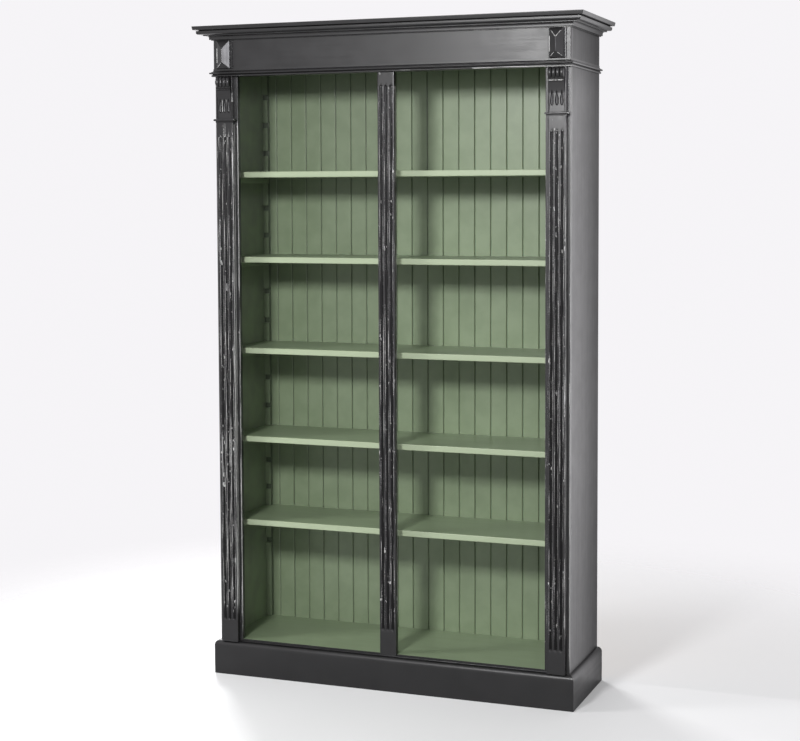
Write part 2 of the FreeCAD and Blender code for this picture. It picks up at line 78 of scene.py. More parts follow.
camera_data = bpy.data.cameras.new("camera")
camera_data.sensor_width = SENSOR
camera_data.lens = FOCAL_PIXELS * SENSOR / PHOTO_WIDTH
camera_data.shift_x, camera_data.shift_y = PICTURE_SHIFT
camera = put("camera", camera_data)
camera.matrix_world = (Matrix.Translation(VIEW_FROM)
                       @ Matrix.Rotation(math.radians(VIEW_YAW), 4, "Z")
                       @ Matrix.Rotation(math.radians(90 - VIEW_DROP), 4, "X")
                       @ Matrix.Rotation(math.radians(-VIEW_ROLL), 4, "Z"))
bpy.context.scene.camera = camera
print("camera lens", round(camera_data.lens, 2), "mm")

# %% [markdown]
# ## Wiring shader nodes by hand
# A node tree written out in full hides its idea behind a hundred lines of links. A few small
# helpers keep it readable: one adds a node and joins its inputs, one does arithmetic, one
# turns a range of values into a soft mask, and the others wrap what is needed again and again.

# %% Helpers for node trees
def add(tree, kind, inputs=None, **settings):
    """Adds one node. An input is given by its name or number, as a value or as a socket."""
    node = tree.nodes.new(kind)
    for key, value in settings.items():
        setattr(node, key, value)
    for key, value in (inputs or {}).items():
        if isinstance(value, bpy.types.NodeSocket):
            tree.links.new(value, node.inputs[key])
        else:
            node.inputs[key].default_value = value
    return node


def calc(tree, operation, *values):
    """A Math node's result."""
    node = add(tree, "ShaderNodeMath", dict(enumerate(values)), operation=operation)
    return node.outputs[0]


def soft_step(tree, value, low, high, start=0.0, end=1.0):
    """Runs smoothly from start to end while the value goes from low to high."""
    node = add(tree, "ShaderNodeMapRange", {"Value": value, "From Min": low, "From Max": high,
                                            "To Min": start, "To Max": end},
               interpolation_type="SMOOTHSTEP")
    return node.outputs["Result"]


def mix_colour(tree, factor, a, b):
    """Colour a where the factor is 0, colour b where it is 1."""
    node = add(tree, "ShaderNodeMix", {0: factor, 6: a, 7: b}, data_type="RGBA")
    return node.outputs[2]


def noise_value(tree, spot, scale, detail, roughness=0.5):
    """Noise from 0 to 1, with patches about one metre over the scale across."""
    node = add(tree, "ShaderNodeTexNoise", {"Vector": spot, "Scale": scale, "Detail": detail,
                                            "Roughness": roughness})
    return node.outputs["Fac"]


def coordinate(tree, spot, axis):
    """The X, Y or Z of a point."""
    return add(tree, "ShaderNodeSeparateXYZ", {0: spot}).outputs["XYZ".index(axis)]


def new_material(name):
    """A material with an empty node tree, and that tree."""
    material = bpy.data.materials.new(name)
    material.use_nodes = True
    material.node_tree.nodes.clear()
    return material, material.node_tree


print("node helpers ready")

# %% [markdown]
# ## Surroundings, floor and lamps
# The case was photographed on a pale floor in a white room, with one soft lamp high in front
# of it. The shelves' shadows on the back boards say where that lamp stands. Three more help
# it: one at the left lights without being mirrored, one at the right is seen in mirror rays
# only and puts the bright facet on the left rosette, and one behind serves the views from
# there. Satin black paint has hardly any colour of its own: what makes it readable is the
# white room mirrored in it, so the world is white for mirror rays and for the camera, and dim
# for diffuse light.

# %% World
WHITE = (1, 1, 1, 1)
ROOM_WHITE = 0.92
ROOM_TINT = (1.0, 0.985, 1.01, 1)
AMBIENT = 0.29

world = bpy.data.worlds.new("white_room")
bpy.context.scene.world = world
world.use_nodes = True
sky = world.node_tree
sky.nodes.clear()
rays = add(sky, "ShaderNodeLightPath")
seen = calc(sky, "MAXIMUM", rays.outputs["Is Camera Ray"],
            calc(sky, "MAXIMUM", rays.outputs["Is Glossy Ray"],
                 rays.outputs["Is Transmission Ray"]))
dim = add(sky, "ShaderNodeBackground", {"Color": WHITE, "Strength": AMBIENT})
bright = add(sky, "ShaderNodeBackground", {"Color": ROOM_TINT, "Strength": ROOM_WHITE})
either = add(sky, "ShaderNodeMixShader", {0: seen, 1: dim.outputs[0], 2: bright.outputs[0]})
add(sky, "ShaderNodeOutputWorld", {"Surface": either.outputs[0]})
print("world", AMBIENT, "for diffuse light,", ROOM_WHITE, "where it is seen")

# %% Floor
# A disc a hair under the plinth. Its rim fades out, so it has no edge against the background,
# and it shines a little towards the camera, which keeps it white around the shadow.
FLOOR_RADIUS = 4.0
FLOOR_SIDES = 64
FLOOR_LEVEL = -0.0005
FLOOR_FADE_START = 0.9
FLOOR_FADE_END = 2.6
FLOOR_TONE = (0.66, 0.66, 0.67, 1)
FLOOR_LIFT = 0.20
FLOOR_ROUGHNESS = (0.55, 0.7)

floor_mesh = bpy.data.meshes.new("floor")
rim = [(FLOOR_RADIUS * math.cos(a), FLOOR_RADIUS * math.sin(a), FLOOR_LEVEL)
       for a in np.linspace(0, 2 * math.pi, FLOOR_SIDES, endpoint=False)]
floor_mesh.from_pydata(rim, [], [tuple(range(len(rim)))])
put("floor", floor_mesh)

pale, tree = new_material("pale_floor")
spot = add(tree, "ShaderNodeTexCoord").outputs["Object"]
away = add(tree, "ShaderNodeVectorMath", {0: spot}, operation="LENGTH").outputs["Value"]
fade = soft_step(tree, away, FLOOR_FADE_START, FLOOR_FADE_END)
seen = add(tree, "ShaderNodeLightPath").outputs["Is Camera Ray"]
cloud = noise_value(tree, spot, 1.5, 3.0)
matt = add(tree, "ShaderNodeBsdfPrincipled",
           {"Base Color": FLOOR_TONE, "Emission Color": WHITE,
            "Emission Strength": calc(tree, "MULTIPLY", seen, FLOOR_LIFT),
            "Roughness": soft_step(tree, cloud, 0.3, 0.7, *FLOOR_ROUGHNESS)})
clear = add(tree, "ShaderNodeBsdfTransparent")
surface = add(tree, "ShaderNodeMixShader", {0: fade, 1: matt.outputs[0], 2: clear.outputs[0]})
add(tree, "ShaderNodeOutputMaterial", {"Surface": surface.outputs[0]})
floor_mesh.materials.append(pale)
print("floor disc", 2 * FLOOR_RADIUS, "m across, fading from", FLOOR_FADE_START, "m")

# %% [markdown]
# The case stands against a white wall, and its side is so foreshortened that it mirrors that
# wall: dark near the corner, where the case shades it, and bright a hand's breadth away. A
# real wall would hide the back of the case in other views, so two glowing strips beside the
# case stand for it in mirror rays only. Their glow is a painted reflection, and its darkening
# near the corner, near the floor and under the cornice is painted shade.

# %% Glowing strips of wall beside the case
WALL_Y = 0.206
WALL_NEAR = 0.6195
WALL_FAR = 3.0
WALL_HIGH = 3.0
CORNER_SHADE = (0.005, 0.16, 0.60, 2.25)   # from and to so far from the case, tone there
FOOT_SHADE = (0.0, 0.9, 0.66, 1.0)         # from and to this height, tone there
HEAD_SHADE = (1.95, 2.12, 1.0, 0.6)

# painted reflection: the strips glow, with painted shade near the corner, the floor and the
# cornice
wall_glow_with_painted_shade, tree = new_material("wall_glow_with_painted_shade")
spot = add(tree, "ShaderNodeTexCoord").outputs["Object"]
near, far, dark, light = CORNER_SHADE
shade = soft_step(tree, calc(tree, "ABSOLUTE", coordinate(tree, spot, "X")),
                  WALL_NEAR + near, WALL_NEAR + far, dark, light)
for ends in (FOOT_SHADE, HEAD_SHADE):
    shade = calc(tree, "MULTIPLY", shade, soft_step(tree, coordinate(tree, spot, "Z"), *ends))
glow = add(tree, "ShaderNodeEmission", {"Color": ROOM_TINT, "Strength": shade})
add(tree, "ShaderNodeOutputMaterial", {"Surface": glow.outputs[0]})
for name, sign in (("wall_left", -1), ("wall_right", 1)):
    strip = bpy.data.meshes.new(name)
    strip.from_pydata([(sign * x, WALL_Y, z) for x, z in
                       ((WALL_NEAR, 0), (WALL_FAR, 0), (WALL_FAR, WALL_HIGH),
                        (WALL_NEAR, WALL_HIGH))], [], [(0, 1, 2, 3)])
    strip.materials.append(wall_glow_with_painted_shade)
    wall = put(name, strip)
    wall.visible_camera = False
    wall.visible_diffuse = False
    wall.visible_shadow = False
print("wall strips from", WALL_NEAR, "m")


# %% Lamps
def soft_lamp(name, where, aim, size, power):
    """A square lamp that looks at a point."""
    data = bpy.data.lights.new(name, "AREA")
    data.shape = "RECTANGLE"
    data.size = data.size_y = size
    data.energy = power
    lamp = put(name, data)
    lamp.location = where
    lamp.rotation_euler = (Vector(aim) - Vector(where)).to_track_quat("-Z", "Y").to_euler()
    return lamp


key_lamp = soft_lamp("key", (-0.13, -3.6, 2.6), (0, -0.14, 0.2), 0.5, 63)
key_lamp.data.spread = math.radians(140)
side_lamp = soft_lamp("side", (-3.0, -1.8, 2.3), (0, -0.14, 1.1), 0.8, 60)
side_lamp.visible_glossy = False
glint_lamp = soft_lamp("glint", (1.64, -3.96, 2.49), (-0.59, -0.17, 2.1), 0.6, 95)
glint_lamp.visible_diffuse = False
glint_lamp.data.color = (0.99, 0.98, 1.04)
soft_lamp("back", (-2.6, 3.4, 2.6), (0, 0.2, 1.1), 1.2, 150)
bpy.context.scene.view_settings.view_transform = "Standard"
print("lamps:", len(bpy.data.lights))

# %% [markdown]
# ## Effects that the paints share
# Painted wood shows three things at once: the brush, the grain under the film, and wear where
# hands and cloths rub. Each is a node group built once. It puts out masks and heights only, so
# every paint can use it with its own strength. All of them read object coordinates, in metres,
# so a mark keeps its real size and moves with its piece. The stretch says which way the grain
# runs: a small number means long marks.

# %% Brush marks
BRUSH_SCALE = 420.0
BRUSH_PATCH_SCALE = 14.0
VECTOR = "NodeSocketVector"
VALUE = "NodeSocketFloat"


def new_group(name, inputs, outputs):
    """An empty node group. Returns its tree, its inputs by name, the coordinates drawn out
    along the grain, and a function that joins a result to an output."""
    tree = bpy.data.node_groups.new(name, "ShaderNodeTree")
    common = [("Coordinates", VECTOR, (0, 0, 0)), ("Stretch", VECTOR, (1, 1, 1))]
    for socket, kind, value in common + inputs:
        made = tree.interface.new_socket(name=socket, in_out="INPUT", socket_type=kind)
        made.default_value = value
    for socket in outputs:
        tree.interface.new_socket(name=socket, in_out="OUTPUT", socket_type=VALUE)
    given = tree.nodes.new("NodeGroupInput").outputs
    end = tree.nodes.new("NodeGroupOutput")
    drawn_out = add(tree, "ShaderNodeVectorMath", {0: given["Coordinates"],
                                                   1: given["Stretch"]}, operation="MULTIPLY")
    return (tree, given, drawn_out.outputs[0],
            lambda socket, result: tree.links.new(result, end.inputs[socket]))


def weighted(tree, a, share_a, b, share_b):
    """The sum of two values, each by its share."""
    return calc(tree, "ADD", calc(tree, "MULTIPLY", a, share_a),
                calc(tree, "MULTIPLY", b, share_b))


brush_marks, given, drawn_out, give = new_group("brush_marks", [], ["Height", "Gloss", "Tone"])
bristles = noise_value(brush_marks, drawn_out, BRUSH_SCALE, 3.0, 0.6)
strokes = noise_value(brush_marks, drawn_out, BRUSH_SCALE / 5, 2.0)
patches = noise_value(brush_marks, given["Coordinates"], BRUSH_PATCH_SCALE, 3.0, 0.55)
give("Height", weighted(brush_marks, bristles, 0.45, strokes, 0.55))
gloss = weighted(brush_marks, strokes, 0.4, patches, 0.6)
give("Gloss", soft_step(brush_marks, gloss, 0.32, 0.68))
give("Tone", soft_step(brush_marks, patches, 0.28, 0.72))
print("brush marks", round(1000 / BRUSH_SCALE, 1), "mm apart")

# %% Wood grain
GRAIN_SCALE = 60.0
PORE_SCALE = 900.0
DRIFT_SCALE = 9.0
DRIFT = 0.06

wood_grain, given, drawn_out, give = new_group("wood_grain", [], ["Rings", "Pores"])
drift = add(wood_grain, "ShaderNodeTexNoise", {"Vector": drawn_out, "Scale": DRIFT_SCALE,
                                               "Detail": 2.0})
drift = add(wood_grain, "ShaderNodeVectorMath", {0: drift.outputs["Color"], "Scale": DRIFT},
            operation="SCALE")
bent = add(wood_grain, "ShaderNodeVectorMath", {0: drift.outputs[0], 1: drawn_out},
           operation="ADD")
rings = noise_value(wood_grain, bent.outputs[0], GRAIN_SCALE, 4.0, 0.65)
pores = noise_value(wood_grain, drawn_out, PORE_SCALE, 1.0)
give("Rings", soft_step(wood_grain, rings, 0.3, 0.7))
give("Pores", soft_step(wood_grain, pores, 0.52, 0.72))
print("grain rings about", round(1000 / GRAIN_SCALE), "mm apart")

# %% [markdown]
# The maker rubbed the black paint through with a coarse cloth along the grain: arrises lose
# it first, then broken streaks in the flutes, and near the floor it is left alone. The mask
# adds the sharpness of the edge, which each carved mesh carries as an attribute, to a streaky
# noise, and cuts the sum off sharply, as paint comes off in flakes. On a few arrises and
# crests that attribute also carries a painted highlight, which shows as the same pale ground.
# Some knocks have chipped the paint too, in small spots a little longer than they are wide.

# %% Rubbed paint
STREAK_SCALE = 520.0
STREAK_WEIGHT = 1.6
WEAR_PATCH_SCALE = 9.0
WEAR_PATCH_WEIGHT = 0.35
FLAKE_SCALE = 480.0
FLAKE_WEIGHT = 0.40
PAINT_HOLDS = 0.42
WORN_THROUGH = (0.98, 1.14)
CHIP_SHAPE = (1, 1, 0.4)
CHIP_SCALE = 120.0
CHIPPED_ABOVE = (0.70, 0.73)
STOP_FADE = 0.06
STOP_RAGGED = 0.12

rubbed_paint, given, drawn_out, give = new_group(
    "rubbed_paint",
    [("Edge", VALUE, 0.0), ("Amount", VALUE, 0.0), ("Edge Weight", VALUE, 0.5),
     ("Stops Below", VALUE, -1.0), ("Chips", VALUE, 0.0)], ["Mask"])
spot = given["Coordinates"]
streaks = noise_value(rubbed_paint, drawn_out, STREAK_SCALE, 2.0)
patches = noise_value(rubbed_paint, spot, WEAR_PATCH_SCALE, 2.0)
flakes = noise_value(rubbed_paint, spot, FLAKE_SCALE, 1.0)
longish = add(rubbed_paint, "ShaderNodeVectorMath", {0: spot, 1: CHIP_SHAPE},
              operation="MULTIPLY")
chipped = soft_step(rubbed_paint, noise_value(rubbed_paint, longish.outputs[0], CHIP_SCALE, 1.0),
                    *CHIPPED_ABOVE)
worn = calc(rubbed_paint, "MULTIPLY", given["Edge"], given["Edge Weight"])
worn = calc(rubbed_paint, "ADD", worn, given["Amount"])
worn = calc(rubbed_paint, "MULTIPLY_ADD", streaks, STREAK_WEIGHT, worn)
worn = calc(rubbed_paint, "SUBTRACT", worn, PAINT_HOLDS)
worn = calc(rubbed_paint, "MULTIPLY_ADD", patches, WEAR_PATCH_WEIGHT, worn)
worn = calc(rubbed_paint, "MULTIPLY_ADD", flakes, FLAKE_WEIGHT, worn)
worn = calc(rubbed_paint, "MULTIPLY_ADD", chipped, given["Chips"], worn)
ragged = calc(rubbed_paint, "MULTIPLY_ADD", streaks, -STOP_RAGGED,
              coordinate(rubbed_paint, spot, "Z"))
stop = given["Stops Below"]
cloth_reaches = soft_step(rubbed_paint, ragged,
                          calc(rubbed_paint, "SUBTRACT", stop, STOP_FADE), stop)
give("Mask", calc(rubbed_paint, "MULTIPLY", soft_step(rubbed_paint, worn, *WORN_THROUGH),
                  cloth_reaches))
print("streaks about", round(1000 / STREAK_SCALE, 1), "mm wide")

# %% [markdown]
# ## The paints
# Three finishes cover the case: satin anthracite outside, satin sage green inside, and bare
# pine where nobody looks. They differ in colour and strength only, so one function makes
# them. Some boards carry both paints, black where they belong to the outside and green
# inside. Their boundary follows a plane of the board, a little ragged as a brush leaves it.
#
# Colours are linear, as a shader wants them, and a little varied within each paint. The carved
# and run pieces have a thin coat of wax over the black. It polishes up on what stands proud and
# is missing on rubbed places. In hollows, which the meshes mark as the attribute "hollow", the
# black is painted darker and the wax is thinned out: that is painted shade.
# The shader's coat is that wax: its weight changes over the surface, while its roughness is
# the same all over and so is a plain number on the shader's own socket.

# %% Colours and tests of place
ANTHRACITE = (0.0056, 0.0054, 0.0058, 1)
ANTHRACITE_LIGHT = (0.0084, 0.0081, 0.0088, 1)
# painted shade: the black given to hollows, darker than the paint itself
HOLLOW_PAINTED_SHADE = (0.0030, 0.0029, 0.0031, 1)
GROUND_COAT = (0.62, 0.62, 0.62, 1)
GROUND_COAT_DARK = (0.40, 0.40, 0.39, 1)
SAGE = (0.200, 0.256, 0.158, 1)
SAGE_LIGHT = (0.228, 0.288, 0.182, 1)
# painted shade: the inner faces of the sides get a duller, darker green than the boards
SAGE_SIDES_PAINTED_SHADE = (0.165, 0.196, 0.136, 1)
# painted light: the shelves' front faces are a lighter green, for the extra light they catch at
# the opening
SHELF_FRONT_PAINTED_LIGHT = (0.362, 0.430, 0.290, 1)
VEE_SHADE = (0.120, 0.152, 0.095, 1)
NOTCH_SHADE = (0.105, 0.135, 0.086, 1)
PINE = (0.56, 0.36, 0.19, 1)
PINE_DARK = (0.36, 0.20, 0.095, 1)
PINE_JOINT = (0.10, 0.055, 0.03, 1)
JOINT_WIDTH = 0.0012
BRUSH_WAVER = 0.0008
BRUSH_WAVER_SCALE = 160.0
BRUSH_EDGE = 0.0001


def beyond(axis, limit, sign=1, mirrored=False):
    """A test of place: the coordinate, or its size where mirrored, lies past a limit."""
    def test(tree, spot):
        value = coordinate(tree, spot, axis)
        if mirrored:
            value = calc(tree, "ABSOLUTE", value)
        ragged = noise_value(tree, spot, BRUSH_WAVER_SCALE, 2.0)
        value = calc(tree, "MULTIPLY_ADD", ragged, BRUSH_WAVER, value)
        value = calc(tree, "SUBTRACT", value, limit + BRUSH_WAVER / 2)
        return soft_step(tree, calc(tree, "MULTIPLY", value, sign), -BRUSH_EDGE, BRUSH_EDGE)
    return test


def near_joint(tree, spot):
    """A line where two back boards meet."""
    first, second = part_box("back_board_1")[1].x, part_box("back_board_2")[1].x
    value = calc(tree, "SUBTRACT", coordinate(tree, spot, "X"), first)
    value = calc(tree, "PINGPONG", value, abs(second - first) / 2)
    return soft_step(tree, value, 0.0, JOINT_WIDTH, 1.0, 0.0)


print("boundaries waver by", 1000 * BRUSH_WAVER, "mm")

# %% Grain for each piece
GRAIN_ALONG = {"x": (0.03, 1, 1), "y": (1, 0.03, 1), "z": (1, 1, 0.03)}
STREAKS_ALONG = {"x": (0.016, 1, 1), "y": (1, 0.016, 1), "z": (1, 1, 0.016)}
OWN_GRAIN = (0.37, 0.71, 1.93)
OWN_TONE = 0.618
TONE_SPREAD = 0.35


def shared_effects(tree, grain, spot):
    """Brush marks and grain. The piece's own number moves them, so no two boards look alike."""
    number = add(tree, "ShaderNodeObjectInfo").outputs["Object Index"]
    step = add(tree, "ShaderNodeVectorMath", {0: OWN_GRAIN, "Scale": number}, operation="SCALE")
    moved = add(tree, "ShaderNodeVectorMath", {0: spot, 1: step.outputs[0]}, operation="ADD")
    along = {"Coordinates": moved.outputs[0], "Stretch": GRAIN_ALONG[grain]}
    return (add(tree, "ShaderNodeGroup", along, node_tree=brush_marks).outputs,
            add(tree, "ShaderNodeGroup", along, node_tree=wood_grain).outputs, number)


def bare_boards(tree, rings, number, spot):
    """Unpainted pine, lighter or darker from board to board, with a line at each joint."""
    board = mix_colour(tree, rings, PINE, PINE_DARK)
    darker = calc(tree, "FRACT", calc(tree, "MULTIPLY", number, OWN_TONE))
    board = mix_colour(tree, calc(tree, "MULTIPLY", darker, TONE_SPREAD), board, PINE_DARK)
    return mix_colour(tree, near_joint(tree, spot), board, PINE_JOINT)


print("grain runs along", " or ".join(GRAIN_ALONG))

# %% Painted wood
SATIN = (0.34, 0.40)
BARE_ROUGHER = 0.3
RELIEF = (0.35, -0.25, -1.2)   # of the rings, the pores and where the paint is gone
FILM = 0.0001
WAX = 0.72
WAX_ROUGHNESS = 0.37
UNDER_WAX = 0.15


def painted(name, grain, green=False, outside=None, amount=-0.5, edge_weight=0.0,
            stops_below=-1.0, chips=0.0, tinted=None, tint=None, unpainted=None,
            greens=(SAGE, SAGE_LIGHT), waxed=False):
    """Satin paint on pine, all black or all green, or black where a test says outside. The
    grain runs along x, y or z. Tinted and unpainted are tests of place as well."""
    material, tree = new_material(name)
    spot = add(tree, "ShaderNodeTexCoord").outputs["Object"]
    brush, wood, number = shared_effects(tree, grain, spot)
    edge, hollow = [add(tree, "ShaderNodeAttribute", attribute_name=mark).outputs["Fac"]
                    for mark in ("rub_and_highlight", "hollow")]
    worn = add(tree, "ShaderNodeGroup",
               {"Coordinates": spot, "Stretch": STREAKS_ALONG[grain], "Edge": edge,
                "Amount": amount, "Edge Weight": edge_weight, "Stops Below": stops_below,
                "Chips": chips}, node_tree=rubbed_paint).outputs["Mask"]
    black = mix_colour(tree, brush["Tone"], ANTHRACITE, ANTHRACITE_LIGHT)
    # painted shade: hollows get the darker black
    paint = black = mix_colour(tree, hollow, black, HOLLOW_PAINTED_SHADE)
    if green or outside:
        paint = mix_colour(tree, brush["Tone"], *greens)
    if outside:
        paint = mix_colour(tree, outside(tree, spot), paint, black)
    if tinted:
        paint = mix_colour(tree, tinted(tree, spot), paint, tint)
    rough = calc(tree, "MULTIPLY_ADD", worn, BARE_ROUGHER,
                 soft_step(tree, brush["Gloss"], 0.0, 1.0, *SATIN))
    if unpainted:
        raw = unpainted(tree, spot)
        paint = mix_colour(tree, raw, paint, bare_boards(tree, wood["Rings"], number, spot))
        rough = calc(tree, "MULTIPLY_ADD", raw, BARE_ROUGHER, rough)
    # the pale ground shows where the paint is rubbed through, and is a painted highlight where a
    # rub mark stands for one
    bare = mix_colour(tree, wood["Rings"], GROUND_COAT, GROUND_COAT_DARK)
    relief = brush["Height"]
    for height, weight in zip((wood["Rings"], wood["Pores"], worn), RELIEF):
        relief = calc(tree, "MULTIPLY_ADD", height, weight, relief)
    bump = add(tree, "ShaderNodeBump", {"Height": relief, "Strength": 0.5, "Distance": FILM})
    shader = add(tree, "ShaderNodeBsdfPrincipled",
                 {"Base Color": mix_colour(tree, worn, paint, bare), "Roughness": rough,
                  "IOR": 1.5, "Normal": bump.outputs[0]})
    if waxed:
        # painted shade: less wax sheen in hollows; on rubbed places the wax is worn off
        hollow_shade_and_wear = calc(tree, "MAXIMUM", hollow, worn)
        tree.links.new(calc(tree, "MULTIPLY_ADD", hollow_shade_and_wear, -WAX, WAX),
                       shader.inputs["Coat Weight"])
        shader.inputs["Coat Roughness"].default_value = WAX_ROUGHNESS
        shader.inputs["Specular IOR Level"].default_value = UNDER_WAX
    add(tree, "ShaderNodeOutputMaterial", {"Surface": shader.outputs[0]})
    return material


print("painted() ready, wax", WAX, "over the black")

# %% The paints of this case
# The amount says how much of a flat face is rubbed through, the edge weight how much more an
# arris loses. The limits are planes of the boards: the outer face of the sides, the front of
# the shelves, the vees and the rear of the back boards, the face of the racks.
black_along = {axis: painted("anthracite_along_" + axis, axis, amount=-0.42, edge_weight=0.20)
               for axis in "xy"}
rubbed_along = {axis: painted("anthracite_rubbed_along_" + axis, axis, amount=-0.20,
                              edge_weight=0.58, waxed=True) for axis in "xy"}
green_along = {axis: painted("sage_along_" + axis, axis, green=True) for axis in "yz"}
fluted_black = {end: painted("anthracite_rubbed_flutes_" + end, "z", amount=amount,
                             edge_weight=0.50, stops_below=0.20, chips=0.5, waxed=True)
                for end, amount in (("left", -0.06), ("right", -0.12))}
centre_black = painted("anthracite_centre_stile", "z", amount=-0.13, edge_weight=0.48,
                       stops_below=0.20, chips=0.35, waxed=True)
frame_black = painted("anthracite_face_frame", "z", amount=-0.24, edge_weight=1.10,
                      stops_below=0.13, chips=0.4, waxed=True)
carved_black = painted("anthracite_carving", "z", amount=-0.20, edge_weight=0.60,
                       waxed=True)
rosette_paint = painted("anthracite_rosette", "z", amount=-0.60, edge_weight=1.7)
# inside of the sides in the darker green, as painted shade
side_paint = painted("anthracite_outside_sage_inside", "z",
                     outside=beyond("X", 0.5975, mirrored=True), greens=(SAGE_SIDES_PAINTED_SHADE, SAGE))
# painted light: a lighter green on the front face of each shelf
shelf_paint = painted("sage_shelf_painted_light_front", "x", green=True,
                      tinted=beyond("Y", -0.0908, sign=-1), tint=SHELF_FRONT_PAINTED_LIGHT)
board_paint = painted("sage_board_dark_vees", "z", green=True,
                      tinted=beyond("Y", 0.1867), tint=VEE_SHADE,
                      unpainted=beyond("Y", 0.1895))
rack_paint = painted("sage_rack_dark_notches", "z", green=True,
                     tinted=beyond("Y", 0.1680), tint=NOTCH_SHADE)
floor_paint = painted("sage_floor_anthracite_nose", "x", outside=beyond("Y", -0.1405, sign=-1))
roof_paint = painted("anthracite_roof_sage_under", "x", outside=beyond("Z", 2.1805))
print("materials so far:", len(bpy.data.materials))

# %% Bare pine
def pine(name, grain):
    """Planed pine without a finish, for faces that are never seen in a room."""
    material, tree = new_material(name)
    spot = add(tree, "ShaderNodeTexCoord").outputs["Object"]
    wood = add(tree, "ShaderNodeGroup", {"Coordinates": spot, "Stretch": GRAIN_ALONG[grain]},
               node_tree=wood_grain).outputs
    rough = soft_step(tree, wood["Pores"], 0.0, 1.0, 0.62, 0.78)
    bump = add(tree, "ShaderNodeBump", {"Height": wood["Rings"], "Strength": 0.4,
                                        "Distance": 2 * FILM})
    shader = add(tree, "ShaderNodeBsdfPrincipled",
                 {"Base Color": mix_colour(tree, wood["Rings"], PINE, PINE_DARK),
                  "Roughness": rough, "Normal": bump.outputs[0]})
    add(tree, "ShaderNodeOutputMaterial", {"Surface": shader.outputs[0]})
    return material


pine_along = {axis: pine("pine_along_" + axis, axis) for axis in "xz"}
print("pine made")

# %% [markdown]
# ## Making shaped pieces
# Almost every shaped piece here is a section that runs along a line: a flute is a hollow in
# an upright, a cornice is a profile planed along a board and mitred at its ends. So one tool
# makes them all. It takes rings of points, skins them from end to end, closes both ends, and
# marks how far each point of the surface stands out or lies in a hollow. The first mark drives
# the rubbed paint, on a few pieces together with a painted highlight, and also moves the sharp
# points inward a little and unevenly, so the wear is in the shape as well. The second drives
# painted shade: a darker black and less wax in the hollows.

# %% Marks of wear
RUB_WIDTH = 0.0013
FLAT_UNDER = 0.10
SHARP_RANGE = 0.45
SPREAD_STEPS = 4


def read(items, key, width=1, kind=float):
    """One property of all the items of a mesh, as a table."""
    values = np.empty(len(items) * width, kind)
    items.foreach_get(key, values)
    return values.reshape(-1, width)


def edge_marks(mesh):
    """For each vertex, how far it stands out from its neighbours, and how far it lies in a
    hollow between them: 0 flat, about 1 at a right-angled arris or in a square corner."""
    points = read(mesh.vertices, "co", 3)
    normals = read(mesh.vertices, "normal", 3)
    a, b = read(mesh.edges, "vertices", 2, int).T
    apart = points[a] - points[b]
    length = np.linalg.norm(apart, axis=1)
    near = np.exp(-length / RUB_WIDTH)
    apart /= np.maximum(length, 1e-9)[:, None]
    marks = []
    for sign in (1, -1):
        mark = np.zeros(len(points))
        np.maximum.at(mark, a, sign * (normals[a] * apart).sum(1))
        np.maximum.at(mark, b, -sign * (normals[b] * apart).sum(1))
        mark = np.clip((mark - FLAT_UNDER) / SHARP_RANGE, 0, 1)
        for _ in range(SPREAD_STEPS):
            wider = mark.copy()
            np.maximum.at(wider, a, mark[b] * near)
            np.maximum.at(wider, b, mark[a] * near)
            mark = wider
        marks.append(mark)
    return points, normals, marks[0], marks[1]


def set_mark(piece, share, mark="rub_and_highlight", mixed=None):
    """Sets how rubbed each point (x, y, z) is, 0 to 1, or another mark; a rub mark can also
    stand for a painted highlight. Mixed says how the new values go together with the old ones,
    where these still count."""
    values = np.clip(share(*read(piece.data.vertices, "co", 3).T), 0, 1)
    data = piece.data.attributes[mark].data
    if mixed:
        values = mixed(read(data, "value")[:, 0], values)
    data.foreach_set("value", values)


print("rubbed edges about", 1000 * RUB_WIDTH, "mm wide")

# %% Skin a set of rings
WEAR_SCALE = 90.0
WEAR_LEAST = 0.35
SMOOTH_UNDER = math.radians(38)


def skin(name, rings, wear=0.0):
    """A closed mesh through rings that have the same number of points."""
    count = len(rings[0])
    points = np.asarray(rings, float).reshape(-1, 3)
    faces = []
    for low in range(0, len(points) - count, count):
        for i in range(count):
            j = (i + 1) % count
            faces.append((low + i, low + j, low + count + j, low + count + i))
    faces.append(tuple(reversed(range(count))))
    faces.append(tuple(range(len(points) - count, len(points))))
    mesh = bpy.data.meshes.new(name)
    mesh.from_pydata(points.tolist(), [], faces)
    work = bmesh.new()
    work.from_mesh(mesh)
    bmesh.ops.remove_doubles(work, verts=work.verts, dist=1e-6)
    bmesh.ops.recalc_face_normals(work, faces=work.faces)
    work.to_mesh(mesh)
    work.free()
    points, normals, rub_and_highlight, hollow = edge_marks(mesh)
    if wear > 0:
        uneven = np.array([noise.noise(Vector(p) * WEAR_SCALE) for p in points])
        depth = wear * rub_and_highlight * np.clip(WEAR_LEAST + uneven, 0, 1)
        mesh.vertices.foreach_set("co", (points - normals * depth[:, None]).ravel())
    mesh.attributes.new("rub_and_highlight", "FLOAT", "POINT").data.foreach_set("value", rub_and_highlight)
    mesh.attributes.new("hollow", "FLOAT", "POINT").data.foreach_set("value", hollow)
    mesh.polygons.foreach_set("use_smooth", [True] * len(mesh.polygons))
    mesh.set_sharp_from_angle(angle=SMOOTH_UNDER)
    mesh.update()
    return put(name, mesh)


def stands_for(piece, material, *cad_nodes):
    """Gives the piece its paint and puts it in the place of CAD nodes of the case."""
    piece.data.materials.append(material)
    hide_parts(*cad_nodes)
    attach(piece, "case")
    return piece


print("skin() ready")

# %% Rounded corners in an outline
ARC_STEPS = 5


